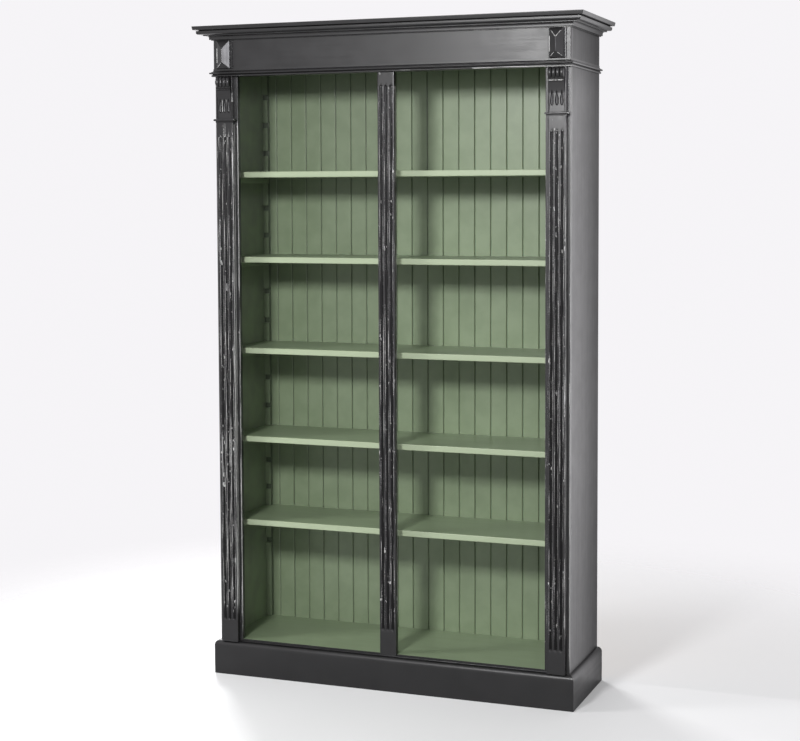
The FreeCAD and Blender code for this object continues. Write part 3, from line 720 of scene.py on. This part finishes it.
def rounded(corners):
    """Points (u, v) along an outline of corners (u, v, radius), each corner with its arc."""
    points = []
    for i, (u, v, radius) in enumerate(corners):
        corner = Vector((u, v))
        before = Vector(corners[i - 1][:2])
        after = Vector(corners[(i + 1) % len(corners)][:2])
        run_in = (corner - before).normalized()
        run_out = (after - corner).normalized()
        turn = run_in.angle(run_out)
        if radius <= 0 or turn < 0.02:
            points.append((u, v))
            continue
        slope = math.tan(turn / 2)
        share = [0.49 if corners[k % len(corners)][2] > 0 else 0.98 for k in (i - 1, i + 1)]
        tangent = min(radius * slope, share[0] * (corner - before).length,
                      share[1] * (after - corner).length)
        fitted = tangent / slope
        inward = (run_out - run_in).normalized()
        middle = corner + inward * fitted / math.cos(turn / 2)
        first = corner - run_in * tangent - middle
        for k in range(ARC_STEPS + 1):
            angle = turn * k / ARC_STEPS
            if run_in.cross(run_out) < 0:
                angle = -angle
            turned = Matrix.Rotation(angle, 2) @ first
            points.append(tuple(middle + turned))
    return points


def spaced(points, longest):
    """Adds points to the long sides of a closed outline."""
    out = []
    for i, p in enumerate(points):
        q = points[(i + 1) % len(points)]
        pieces = max(1, math.ceil(math.dist(p, q) / longest))
        for k in range(pieces):
            out.append((p[0] + (q[0] - p[0]) * k / pieces, p[1] + (q[1] - p[1]) * k / pieces))
    return out


print("outline helpers ready")

# %% [markdown]
# ## Fluted uprights
# Each pilaster has three flutes with round ends, cut by a core-box bit or a gouge, and the
# centre stile has the same three. Every row of the mesh is a section of the upright at one
# height: the depth of the flute at that height is that of a round-nosed cutter, so the ends
# come out as true quarter balls. Rows lie close together at the ends and wide apart between.

# %% Flutes
FLUTE_HALF = 0.005
FLUTE_DEPTH = 0.004
FLUTE_PITCH = 0.017
FLUTE_PLACES = (-1, 0, 1)
CUTTER_RADIUS = (FLUTE_HALF ** 2 + FLUTE_DEPTH ** 2) / (2 * FLUTE_DEPTH)
CUTTER_CLEAR = 1.04
ROW_STEP = 0.009


def flute_depth(across, past_end):
    """Depth of a flute beside its middle line, and past the end of its straight part."""
    room = CUTTER_RADIUS ** 2 - across ** 2 - past_end ** 2
    return max(0.0, math.sqrt(max(room, 0.0)) - (CUTTER_RADIUS - FLUTE_DEPTH))


def flute_rows(z0, z1, foot, head):
    """The heights of an upright's sections."""
    nose = FLUTE_HALF * CUTTER_CLEAR * np.linspace(0, 1, 9)
    low, high = foot + FLUTE_HALF, head - FLUTE_HALF
    straight = round((head - foot) / ROW_STEP)
    return sorted({z0, z1, *(low - nose), *(high + nose),
                   *np.linspace(low, high, straight)[1:-1],
                   *np.linspace(z0, foot - 0.001, 8)[1:-1],
                   *np.linspace(head + 0.001, z1, 6)[1:-1]})


print("flutes", round(2000 * FLUTE_HALF), "mm wide")

# %% A fluted upright
ARRIS = 0.0007
CORNER = 0.0015
SIDE_BAND = 0.003
UPRIGHT_WEAR = 0.0006


def fluted_upright(name, middle, half, face, back, z0, z1, foot, head):
    """An upright from z0 to z1 with three flutes from foot to head in its front."""
    one = [FLUTE_HALF * math.sin(math.pi / 2 * t) for t in np.linspace(-1, 1, 11)]
    for beside in (FLUTE_HALF + ARRIS, FLUTE_HALF + 3 * ARRIS):
        one += [-beside, beside]
    columns = sorted(i * FLUTE_PITCH + x for i in FLUTE_PLACES for x in one)
    arc = [(CORNER * (1 - math.cos(turn)), CORNER * (1 - math.sin(turn)))
           for turn in np.linspace(0, math.pi / 2, 4)]
    rings = []
    for z in flute_rows(z0, z1, foot, head):
        past = max(0.0, foot + FLUTE_HALF - z, z - head + FLUTE_HALF)
        ring = [(middle - half, back, z)]
        ring += [(middle - half + u, face + v, z) for u, v in arc]
        for x in columns:
            nearest = min(abs(x - i * FLUTE_PITCH) for i in FLUTE_PLACES)
            ring.append((middle + x, face + flute_depth(nearest, past), z))
        ring += [(middle + half - u, face + v, z) for u, v in reversed(arc)]
        rings.append(ring + [(middle + half, back, z)])
    piece = skin(name, rings, UPRIGHT_WEAR)
    # the whole inside of each flute is marked as hollow, so it gets the painted shade
    set_mark(piece, lambda x, y, z: (y - face) / FLUTE_DEPTH
             * (abs(x - middle) < half - SIDE_BAND), "hollow")
    return piece


print("fluted_upright() ready")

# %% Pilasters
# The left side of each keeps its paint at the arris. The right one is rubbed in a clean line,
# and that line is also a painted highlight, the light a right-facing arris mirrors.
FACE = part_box("stile_right")[0].y
PILASTER_HALF = 0.030
FLUTES_START = 0.076
FLUTES_STOP = 0.047
LINE_CORE = 0.0012
LINE_FADE = 0.0010
UNDER_NECK = 0.006
pilaster_low, pilaster_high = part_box("pilaster_right")
pilaster_middle = (pilaster_low.x + pilaster_high.x) / 2


def rubbed_and_highlit_line(x, y, edge, front, core):
    """Full within the core of an arris, nothing a little further."""
    return 1.0 - (abs(x - edge) + abs(y - front) - core) / LINE_FADE


for side, sign in (("left", -1), ("right", 1)):
    middle = sign * pilaster_middle
    piece = fluted_upright("fluted_pilaster_" + side, middle, PILASTER_HALF, pilaster_low.y,
                           FACE, pilaster_low.z, pilaster_high.z,
                           pilaster_low.z + FLUTES_START, pilaster_high.z - FLUTES_STOP)
    # painted highlight and rubbed paint: a clean pale line on the right-facing arris
    set_mark(piece, lambda x, y, z: rubbed_and_highlit_line(x, y, middle + PILASTER_HALF, pilaster_low.y,
                                                LINE_CORE), mixed=np.maximum)
    set_mark(piece, lambda x, y, z: z < pilaster_high.z - UNDER_NECK, mixed=np.multiply)
    stands_for(piece, fluted_black[side], "pilaster_" + side)
    print(piece.name, len(piece.data.polygons), "faces")

# %% Centre stile
# Its foot laps over the nose of the floor and its head is tenoned into the rail, which is
# hidden, so the visible upright ends at both. The lap is the lower part of its back.
CENTRE_HALF = 0.029
CENTRE_START = 0.084
CENTRE_STOP = 0.042
CENTRE_RUBBED_TO = 0.046
stile_low, stile_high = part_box("centre_stile")
OPENING_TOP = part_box("top_rail")[0].z
FLOOR_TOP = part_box("floor_board")[1].z
piece = fluted_upright("fluted_centre_stile", 0.0, CENTRE_HALF, stile_low.y, stile_high.y,
                       FLOOR_TOP, OPENING_TOP, stile_low.z + CENTRE_START,
                       OPENING_TOP - CENTRE_STOP)
set_mark(piece, lambda x, y, z: z < OPENING_TOP - CENTRE_RUBBED_TO, mixed=np.multiply)
stands_for(piece, centre_black, "centre_stile")
foot_plan = spaced(rounded([(-CENTRE_HALF, stile_low.y, CORNER),
                            (CENTRE_HALF, stile_low.y, CORNER),
                            (CENTRE_HALF, FACE, 0), (-CENTRE_HALF, FACE, 0)]), 0.01)
lap = skin("centre_stile_foot", [[(x, y, z) for x, y in foot_plan]
                                 for z in (stile_low.z, FLOOR_TOP)])
stands_for(lap, centre_black, "centre_stile")
print(piece.name, len(piece.data.polygons), "faces")

# %% Side stiles
# Their front arrises are a little rubbed, and one of each in a clean line: the outer one on
# the right, up to the carving, and the inner one on the left, fainter. Both face right, and the
# line is also a painted highlight, the light these arrises mirror.
STILE_CORNER = 0.003
STILE_ROWS = 260
STILE_WEAR = 0.0005
STILE_LINE_CORE = 0.0018
ARRIS_SHARE = 0.65
ARRIS_FADE = 0.002
INNER_LINE = 0.55
OUTER_LINE_ABOVE = 0.2


def stile_rubbed(inner, outer, front, sign):
    """How rubbed each point of a stile is, with a painted highlight along its right-facing
    arris.
    """
    edge, strength = (outer, 1.0) if sign > 0 else (inner, INNER_LINE)

    def share(x, y, z):
        nearest = np.minimum(abs(x - inner), abs(x - outer))
        soft = ARRIS_SHARE * np.exp(-nearest / ARRIS_FADE - abs(y - front) / ARRIS_FADE)
        # painted highlight and rubbed paint: the clean line on the right-facing arris
        line = np.clip(rubbed_and_highlit_line(x, y, edge, front, STILE_LINE_CORE), 0, 1)
        return (np.maximum(soft, strength * line)
                * (z < pilaster_high.z + OUTER_LINE_ABOVE * (sign > 0)))
    return share


for side, sign in (("left", -1), ("right", 1)):
    low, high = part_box("stile_" + side)
    inner, outer = (high.x, low.x) if sign < 0 else (low.x, high.x)
    plan = spaced(rounded([(inner, low.y, CORNER), (outer, low.y, STILE_CORNER),
                           (outer, high.y, 0), (inner, high.y, 0)]), STILE_CORNER)
    piece = skin("face_stile_" + side, [[(x, y, z) for x, y in plan] for z in
                                        np.linspace(low.z, high.z, STILE_ROWS)], STILE_WEAR)
    set_mark(piece, stile_rubbed(inner, outer, low.y, sign))
    stands_for(piece, frame_black, "stile_" + side)
print("side stiles", len(piece.data.polygons), "faces each")

# %% [markdown]
# ## Mouldings
# The cornice, the architrave and the plinth are profiles run along a board and mitred round
# the two front corners. A mitre needs no cutting in a mesh: each point of the last ring lies
# as much further out as it stands away from the board. Profiles are the CAD's, with finer
# arcs. Reach is measured from the board's face, height from the floor.

# %% Profiles
FRIEZE_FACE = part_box("frieze_board")[0].y
FRIEZE_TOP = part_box("cornice_front")[0].z
HALF_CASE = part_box("frieze_board")[1].x
CASE_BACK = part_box("side_panel_right")[1].y


def above(level, corners):
    """Turns corners (reach, height, radius) in millimetres into metres above a level."""
    return [(u / 1000, level + v / 1000, r / 1000) for u, v, r in corners]


architrave = above(OPENING_TOP, [
    (0, 0, 0), (6.5, 0, 2.9), (6.5, 6.5, 2.9), (3.6, 6.5, 0), (3.6, 8.8, 0),
    (12, 8.8, 2.8), (12, 14.6, 2.8), (6.5, 14.6, 0), (6.5, 16.1, 0), (1.2, 18.7, 3.9),
    (1.2, 26, 0), (0, 26, 0)])
cornice = above(FRIEZE_TOP, [
    (0, 0, 0), (5.9, 0, 0), (5.9, 2.3, 0), (11.3, 2.3, 0.4), (11.3, 14.4, 9.9),
    (25.9, 14.4, 0), (25.9, 18, 0.3), (43.2, 18, 9.9), (43.2, 29.7, 0.5), (36.7, 29.7, 0),
    (36.7, 32.8, 0), (51.8, 32.8, 0.5), (54, 43.2, 0.5), (54, 45, 1.3), (0, 45, 0)])
plinth_low, plinth_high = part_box("plinth_front")
plinth_reach = FACE - plinth_low.y
plinth = [(0, 0, 0), (plinth_reach, 0, 0.0008), (plinth_reach, plinth_high.z, 0.015),
          (0, plinth_high.z, 0)]
for title, profile in (("architrave", architrave), ("cornice", cornice), ("plinth", plinth)):
    print(title, "reaches", round(1000 * max(corner[0] for corner in profile), 1), "mm")

# %% Run the mouldings
SECTION_STEP = 0.004
RUN_STEP = 0.012
MOULDING_WEAR = 0.0003


def front_run(name, profile, base):
    """The front length: mitred at both ends."""
    section = spaced(rounded(profile), SECTION_STEP)
    rings = [[(-HALF_CASE - c, base - c, z) for c, z in section]]
    for x in np.arange(-HALF_CASE + RUN_STEP, HALF_CASE, RUN_STEP):
        rings.append([(x, base - c, z) for c, z in section])
    rings.append([(HALF_CASE + c, base - c, z) for c, z in section])
    return skin(name, rings, MOULDING_WEAR)


def side_run(name, profile, base, sign):
    """A return along the side, mitred at its front end and cut square at the back."""
    section = spaced(rounded(profile), SECTION_STEP)
    rings = [[(sign * (HALF_CASE + c), base - c, z) for c, z in section]]
    for y in [*np.arange(base + RUN_STEP, CASE_BACK, RUN_STEP), CASE_BACK]:
        rings.append([(sign * (HALF_CASE + c), y, z) for c, z in section])
    return skin(name, rings, MOULDING_WEAR)


print("runs ready")

# %% Rub and place the mouldings
# A duster passes along the lowest edge of the two upper ones, and harder at the right end.
RUBBED_EDGE = {"architrave": (OPENING_TOP + 0.0040, 0.0040),
               "cornice": (FRIEZE_TOP + 0.0012, 0.0050)}
HARDER_FROM = 0.30
HARD_SHARE = 0.95
LIGHT_SHARE = 0.28


def moulding_rubbed(below, proud_of):
    """How rubbed a moulding is, under a height and beyond a reach."""
    def share(x, y, z):
        proud = np.maximum(FRIEZE_FACE - y, abs(x) - HALF_CASE)
        return ((z < below) * (proud > proud_of)
                * np.where(x > HARDER_FROM, HARD_SHARE, LIGHT_SHARE))
    return share


for kind, profile, base in (("architrave", architrave, FRIEZE_FACE),
                            ("cornice", cornice, FRIEZE_FACE), ("plinth", plinth, FACE)):
    paints = black_along if kind == "plinth" else rubbed_along
    piece = front_run("mitred_%s_front" % kind, profile, base)
    set_mark(piece, moulding_rubbed(*RUBBED_EDGE.get(kind, (0.0, 0.0))))
    stands_for(piece, paints["x"], kind + "_front")
    for side, sign in (("left", -1), ("right", 1)):
        piece = side_run("mitred_%s_%s" % (kind, side), profile, base, sign)
        set_mark(piece, lambda x, y, z: 0 * z)
        stands_for(piece, paints["y"], "%s_%s" % (kind, side))
    print(kind, len(piece.data.polygons), "faces in a return")

# %% [markdown]
# ## Necks, corbels and rosettes
# The neck is a nosing over a fillet that goes round the head of the pilaster. As rings lie
# one above the other here, each is the plan of the block at that height.

# %% Neck mouldings
NOSE_HEIGHT = 0.007
NOSE_STEPS = 10
NOSE_FULLNESS = 0.35
NECK_FILLET = 0.0025
NECK_POINTS = 12
NECK_RUBBED = 0.75
neck_low, neck_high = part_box("neck_moulding_right")
neck_reach = pilaster_low.y - neck_low.y
levels = [(0.0, neck_low.z), (NECK_FILLET, neck_low.z + 0.0004),
          (NECK_FILLET, neck_high.z - NOSE_HEIGHT)]
for k in range(NOSE_STEPS + 1):
    turn = math.pi * k / NOSE_STEPS
    levels.append((neck_reach - NOSE_HEIGHT / 2 * (1 - math.sin(turn) ** NOSE_FULLNESS),
                   neck_high.z - NOSE_HEIGHT / 2 - NOSE_HEIGHT / 2 * math.cos(turn)))


def neck_ring(middle, reach, z):
    """The plan of the neck at one level, with the same number of points on each side."""
    half, front = PILASTER_HALF + reach, pilaster_low.y - reach
    plan = [(middle - half, FACE), (middle - half, front), (middle + half, front),
            (middle + half, FACE)]
    return [(a[0] + (b[0] - a[0]) * t, a[1] + (b[1] - a[1]) * t, z)
            for a, b in zip(plan, plan[1:] + plan[:1])
            for t in np.linspace(0, 1, NECK_POINTS, endpoint=False)]


for side, sign in (("left", -1), ("right", 1)):
    rings = [neck_ring(sign * pilaster_middle, reach, z) for reach, z in levels]
    piece = skin("neck_nosing_" + side, rings, MOULDING_WEAR)
    set_mark(piece, lambda x, y, z: (z > neck_high.z - NOSE_HEIGHT / 2) * NECK_RUBBED,
             mixed=np.multiply)
    stands_for(piece, carved_black, "neck_moulding_" + side)
print("necks", len(piece.data.polygons), "faces each")

# %% [markdown]
# The rosette is a plate with a hipped diamond on a low block. Its rings are rectangles that
# lie one in front of the other: they step in round the block, then shrink along the hips until
# only the ridge is left. The corners of the rings are the hips, so these stay crisp. The cloth
# caught the hips near both ends, and one long side of the diamond.

# %% Shape of a rosette
ROSETTE_RIM = 0.0055
ROSETTE_END_RIM = 0.0015
ROSETTE_PLATE = 0.005
ROSETTE_BLOCK = 0.009
PLATE_ARRIS = 0.0006
HIP_STEPS = 14
HIP_STOPS = 0.992
LOW_HIP = 0.85
HIGH_HIP = 1.25
POINTS_ACROSS = 24
POINTS_UP = 48
rosette_low, rosette_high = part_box("rosette_right")
rosette_half = (rosette_high.x - rosette_low.x) / 2
diamond_half = rosette_half - ROSETTE_RIM
diamond_low = rosette_low.z + ROSETTE_END_RIM
diamond_high = rosette_high.z - ROSETTE_END_RIM
plate_face = FRIEZE_FACE - ROSETTE_PLATE
block_face = plate_face - ROSETTE_BLOCK


def rectangle(middle, half, low, high, y):
    """A level rectangle of points, the same number on each of its sides at every size."""
    across = np.linspace(0, 1, POINTS_ACROSS)[:-1]
    up = np.linspace(0, 1, POINTS_UP)[:-1]
    return ([(middle - half + 2 * half * t, y, low) for t in across]
            + [(middle + half, y, low + (high - low) * t) for t in up]
            + [(middle + half - 2 * half * t, y, high) for t in across]
            + [(middle - half, y, high - (high - low) * t) for t in up])


rosette_steps = [
    (rosette_half, rosette_low.z, rosette_high.z, FRIEZE_FACE),
    (rosette_half, rosette_low.z, rosette_high.z, plate_face + PLATE_ARRIS),
    (rosette_half - PLATE_ARRIS, rosette_low.z + PLATE_ARRIS, rosette_high.z - PLATE_ARRIS,
     plate_face),
    (diamond_half, diamond_low, diamond_high, plate_face),
    (diamond_half, diamond_low, diamond_high, block_face)]
for t in np.linspace(0, 1, HIP_STEPS + 1)[1:]:
    drawn_in = diamond_half * min(t, HIP_STOPS)
    rosette_steps.append((diamond_half - drawn_in, diamond_low + drawn_in * LOW_HIP,
                          diamond_high - drawn_in * HIGH_HIP,
                          block_face + (rosette_low.y - block_face) * t))
print("rosette", len(rosette_steps), "rings")

# %% Rub and place the rosettes
RUB_REACH = 0.0012
LOW_RUBBED, HIGH_RUBBED = (0.15, 0.75), (0.30, 0.95)   # parts of the way up the hips
LEFT_LOW_RUBBED = (0.2, 0.8)
SIDE_RUBBED, SIDE_HEIGHTS = (-0.05, 0.11), (0.018, 0.066)


def between(values, ends):
    """Where the values lie between two ends."""
    return (values > ends[0]) & (values < ends[1])


def hips_rubbed(middle, sign):
    """How rubbed each point of a rosette is."""
    def share(x, y, z):
        t = (block_face - y) / (block_face - rosette_low.y)
        drawn_in = diamond_half * np.clip(t, 0, 1)
        on_hip = abs(abs(x - middle) - (diamond_half - drawn_in)) < RUB_REACH
        low_hip = on_hip & (abs(z - diamond_low - drawn_in * LOW_HIP) < RUB_REACH)
        high_hip = on_hip & (abs(diamond_high - z - drawn_in * HIGH_HIP) < RUB_REACH)
        if sign > 0:
            rubbed = (low_hip & between(t, LOW_RUBBED)) | (high_hip & between(t, HIGH_RUBBED))
        else:
            rubbed = low_hip & (x < middle) & between(t, LEFT_LOW_RUBBED)
        long_side = abs(x - middle + diamond_half - drawn_in) < RUB_REACH
        long_side &= between(t, SIDE_RUBBED) & between(z - diamond_low, SIDE_HEIGHTS)
        return (rubbed | long_side) * 1.0
    return share


for side, sign in (("left", -1), ("right", 1)):
    middle = sign * pilaster_middle
    piece = skin("cut_rosette_" + side, [rectangle(middle, *step) for step in rosette_steps],
                 wear=0.0002)
    set_mark(piece, hips_rubbed(middle, sign))
    stands_for(piece, rosette_paint, "rosette_" + side)
print("rosettes", len(piece.data.polygons), "faces each")

# %% [markdown]
# The corbel is carved from one block: a scroll of four reeds, a thin fillet under it, a tongue
# that starts flush with the block and leans out as it rises, and three drops gouged into its
# foot. Every ring is a level cut through the block, from one back corner round the front to
# the other. Within the tongue the points keep their share of its width, so its walls stay
# clean where it widens towards the scroll. How far the surface stands out is worked out point
# by point. Places up and down the carving are shares of its height.

# %% Corbel shape
CORBEL_LOW = neck_high.z
CORBEL_TALL = OPENING_TOP - CORBEL_LOW
ROLL_RADIUS = 0.019
ROLL_REACH = 0.037
ROLL_HALF = 0.026
REED_COUNT = 4
REED_PITCH = 2 * ROLL_HALF / REED_COUNT
REED_DEPTH = 0.0052
BLOCK_REACH = 0.016
LEAN_REACH = 0.0285
LEAN_CURVE = 1.25
TONGUE_HALF = 0.0245
TONGUE_PROUD = 0.0004
WIDENS_FROM = 0.40
LEANS_FROM = 0.42
FILLET = (0.680, 0.712)   # from and to, in shares of the height
FILLET_PROUD = 0.0030
FILLET_ARRIS = 0.0008
roll_middle = CORBEL_TALL - ROLL_RADIUS
roll_foot = CORBEL_TALL - 1.5 * ROLL_RADIUS


def ease(t):
    """Goes from 0 to 1 and starts and ends level."""
    t = min(max(t, 0.0), 1.0)
    return t * t * (3 - 2 * t)


def tongue_half(h):
    """Half the width of the tongue at a height over the corbel's foot."""
    low = WIDENS_FROM * CORBEL_TALL
    return TONGUE_HALF + (ROLL_HALF - TONGUE_HALF) * ease((h - low) / (roll_foot - low))


def tongue_reach(h):
    """How far the tongue stands out: flush with the block below, then leaning out."""
    low = LEANS_FROM * CORBEL_TALL
    lean = min(max((h - low) / (roll_foot - low), 0.0), 1.0)
    return BLOCK_REACH + TONGUE_PROUD + (LEAN_REACH - BLOCK_REACH) * lean ** LEAN_CURVE


print("corbel", round(CORBEL_TALL * 1000), "mm tall, roll", round(ROLL_REACH * 1000), "mm out")

# %% Drops, fillet and reeds
DROP_PITCH = 0.016
DROP_HALF = 0.0056
DROP_DEPTH = 0.0050
DROP_LOW, DROP_HIGH = 0.145 * CORBEL_TALL, 0.47 * CORBEL_TALL
BULB = 0.30
POINT_CURVE = 1.6
DROP_FADES = 0.35
DROP_START = 0.06


def drop_cut(x, h):
    """Depth of the three drops: a round bulb below that runs up to a point."""
    t = (h - DROP_LOW) / (DROP_HIGH - DROP_LOW)
    if not 0 < t < 1:
        return 0.0
    if t < BULB:
        width = DROP_HALF * math.sqrt(max(0.0, 1 - (1 - t / BULB) ** 2))
    else:
        width = DROP_HALF * (1 - ((t - BULB) / (1 - BULB)) ** POINT_CURVE)
    across = min(abs(x - i * DROP_PITCH) for i in (-1, 0, 1))
    if across >= width:
        return 0.0
    deep = DROP_DEPTH * (1 - DROP_FADES * t) * min(1.0, t / DROP_START)
    return deep * math.sqrt(1 - (across / width) ** 2)


def corbel_reach(x, h):
    """How far the carved surface stands out at one point."""
    reach = tongue_reach(h)
    low, high = [share * CORBEL_TALL for share in FILLET]
    reach += FILLET_PROUD * ease((h - low) / FILLET_ARRIS) * ease((high - h) / FILLET_ARRIS)
    reach -= drop_cut(x, h)
    place = ((x + ROLL_HALF) / REED_PITCH) % 1.0 * 2 - 1
    crest = math.sqrt(max(0.0, 1 - place * place))
    radius = ROLL_RADIUS - REED_DEPTH * (1 - crest)
    over = h - roll_middle
    rolled = ROLL_REACH - ROLL_RADIUS + math.sqrt(max(0.0, radius * radius - over * over))
    if over > 0:
        return max(BLOCK_REACH, rolled)
    return max(reach, rolled) if over * over < radius * radius else reach


print("drops", round(1000 * (DROP_HIGH - DROP_LOW)), "mm long")

# %% [markdown]
# The cloth has touched only what stands proud: the reeds' crests, the fillet under them, the
# ridges between the drops and, on the left corbel, the outer edge of the tongue. The pale spots
# on the crests, halfway up the scroll, are rubbed paint and a painted highlight at once.

# %% Rub the carving
TONGUE_LIMIT = 0.0294
CREST_HIGHLIGHT_SPOT = 0.0019
RIDGE_HALF = 0.0035
EDGE_DEPTH = 0.0025
FRONT = FACE - BLOCK_REACH


def carving_rubbed(middle, sign):
    """How rubbed each point of a corbel is, with painted highlights on the reeds' crests. The
    right one has the brighter scroll, the left one the brighter ridges."""
    crest_highlight_share, ridge_share = (1.0, 0.5) if sign > 0 else (0.6, 0.95)

    def share(x, y, z):
        across = x - middle
        height = (z - CORBEL_LOW) / CORBEL_TALL
        over = z - CORBEL_LOW - roll_middle
        # painted highlight: pale spots on the reeds' crests, halfway up the scroll, over rubbed
        # paint
        from_crest = (across + ROLL_HALF) % REED_PITCH - REED_PITCH / 2
        crest_highlights = np.exp(-(from_crest ** 2 + over ** 2) / (2 * CREST_HIGHLIGHT_SPOT ** 2))
        crest_highlights = crest_highlights * (abs(across) < ROLL_HALF) * crest_highlight_share
        fillet = between(height, (0.685, 0.712)) & (abs(across) < 0.024) & (sign > 0)
        beside = np.minimum(abs(across - DROP_PITCH / 2), abs(across + DROP_PITCH / 2))
        ridges = np.clip(1 - beside / RIDGE_HALF, 0, 1) * between(height, (0.17, 0.46))
        edge = (across > TONGUE_LIMIT) & between(height, (0.40, 0.62)) & (sign < 0)
        edge &= y < FRONT + EDGE_DEPTH
        return np.maximum.reduce([crest_highlights, fillet * 0.9, ridges * ridge_share, edge * 1.0])
    return share


print("crest_highlights", round(1000 * REED_PITCH, 1), "mm apart")

# %% Carve both corbels
CORBEL_LEVELS = 150
TONGUE_POINTS = 81
TONGUE_GAP = 0.0002
# The block's side and its arris: how far from the middle, how far behind the front.
SIDE_PLAN = ((PILASTER_HALF, 0.0035), (PILASTER_HALF, 0.0015), (0.0296, 0.0004))
CORBEL_WEAR = 0.0004


def corbel_ring(middle, h):
    """A level cut through the block, from its left back corner to the right one."""
    z = CORBEL_LOW + h
    half = tongue_half(h)
    start = min(half + TONGUE_GAP, TONGUE_LIMIT)
    ring = [(middle - PILASTER_HALF, FACE, z)]
    ring += [(middle - across, FRONT + back, z) for across, back in SIDE_PLAN[1:]]
    ring.append((middle - start, FRONT, z))
    for x in half * np.linspace(-1, 1, TONGUE_POINTS):
        ring.append((middle + x, FACE - corbel_reach(x, min(h, CORBEL_TALL - 1e-5)), z))
    ring.append((middle + start, FRONT, z))
    ring += [(middle + across, FRONT + back, z) for across, back in reversed(SIDE_PLAN)]
    return ring + [(middle + PILASTER_HALF, FACE, z)]


for side, sign in (("left", -1), ("right", 1)):
    middle = sign * pilaster_middle
    piece = skin("carved_corbel_" + side, [corbel_ring(middle, h) for h in
                                           np.linspace(0, CORBEL_TALL, CORBEL_LEVELS)],
                 CORBEL_WEAR)
    set_mark(piece, carving_rubbed(middle, sign))
    stands_for(piece, carved_black, "corbels")
print("corbels", len(piece.data.polygons), "faces each")

# %% [markdown]
# ## Plain boards
# Boards, shelves, racks and cleats are right as the CAD gives them. What a saw and a plane
# leave is never a knife edge, so each gets a weld, which joins the vertices that the file
# keeps apart, and a narrow bevel, which catches the light. Each also gets a number of its own,
# which the paint reads to shift its grain.

# %% Soft edges on the CAD pieces
EDGE_SOFTNESS = 0.0006
PAINTS = {"shelf": shelf_paint, "cleat": green_along["y"], "back_board": board_paint,
          "back_rack": rack_paint, "front_rack": green_along["z"], "side_panel": side_paint,
          "floor_board": floor_paint, "roof_board": roof_paint, "rear_rail": pine_along["x"],
          "bottom_rail": pine_along["x"], "glue_blocks": pine_along["z"]}


def soften(piece):
    """Welds a CAD piece and rounds its sharp edges without touching its mesh."""
    weld = piece.modifiers.new("weld", "WELD")
    weld.merge_threshold = 1e-5
    bevel = piece.modifiers.new("bevel", "BEVEL")
    bevel.width = EDGE_SOFTNESS
    bevel.segments = 2
    bevel.limit_method = "ANGLE"
    bevel.angle_limit = math.radians(40)
    bevel.harden_normals = True


for number, name in enumerate(sorted(nodes)):
    piece = nodes[name]
    if piece.hide_render:
        continue
    soften(piece)
    piece.pass_index = number + 1
    fitting = [paint for start, paint in PAINTS.items() if name.startswith(start)]
    piece.data.materials.clear()
    piece.data.materials.append(fitting[0] if fitting else black_along["x"])
print("softened", sum(1 for n in nodes.values() if not n.hide_render), "CAD pieces")
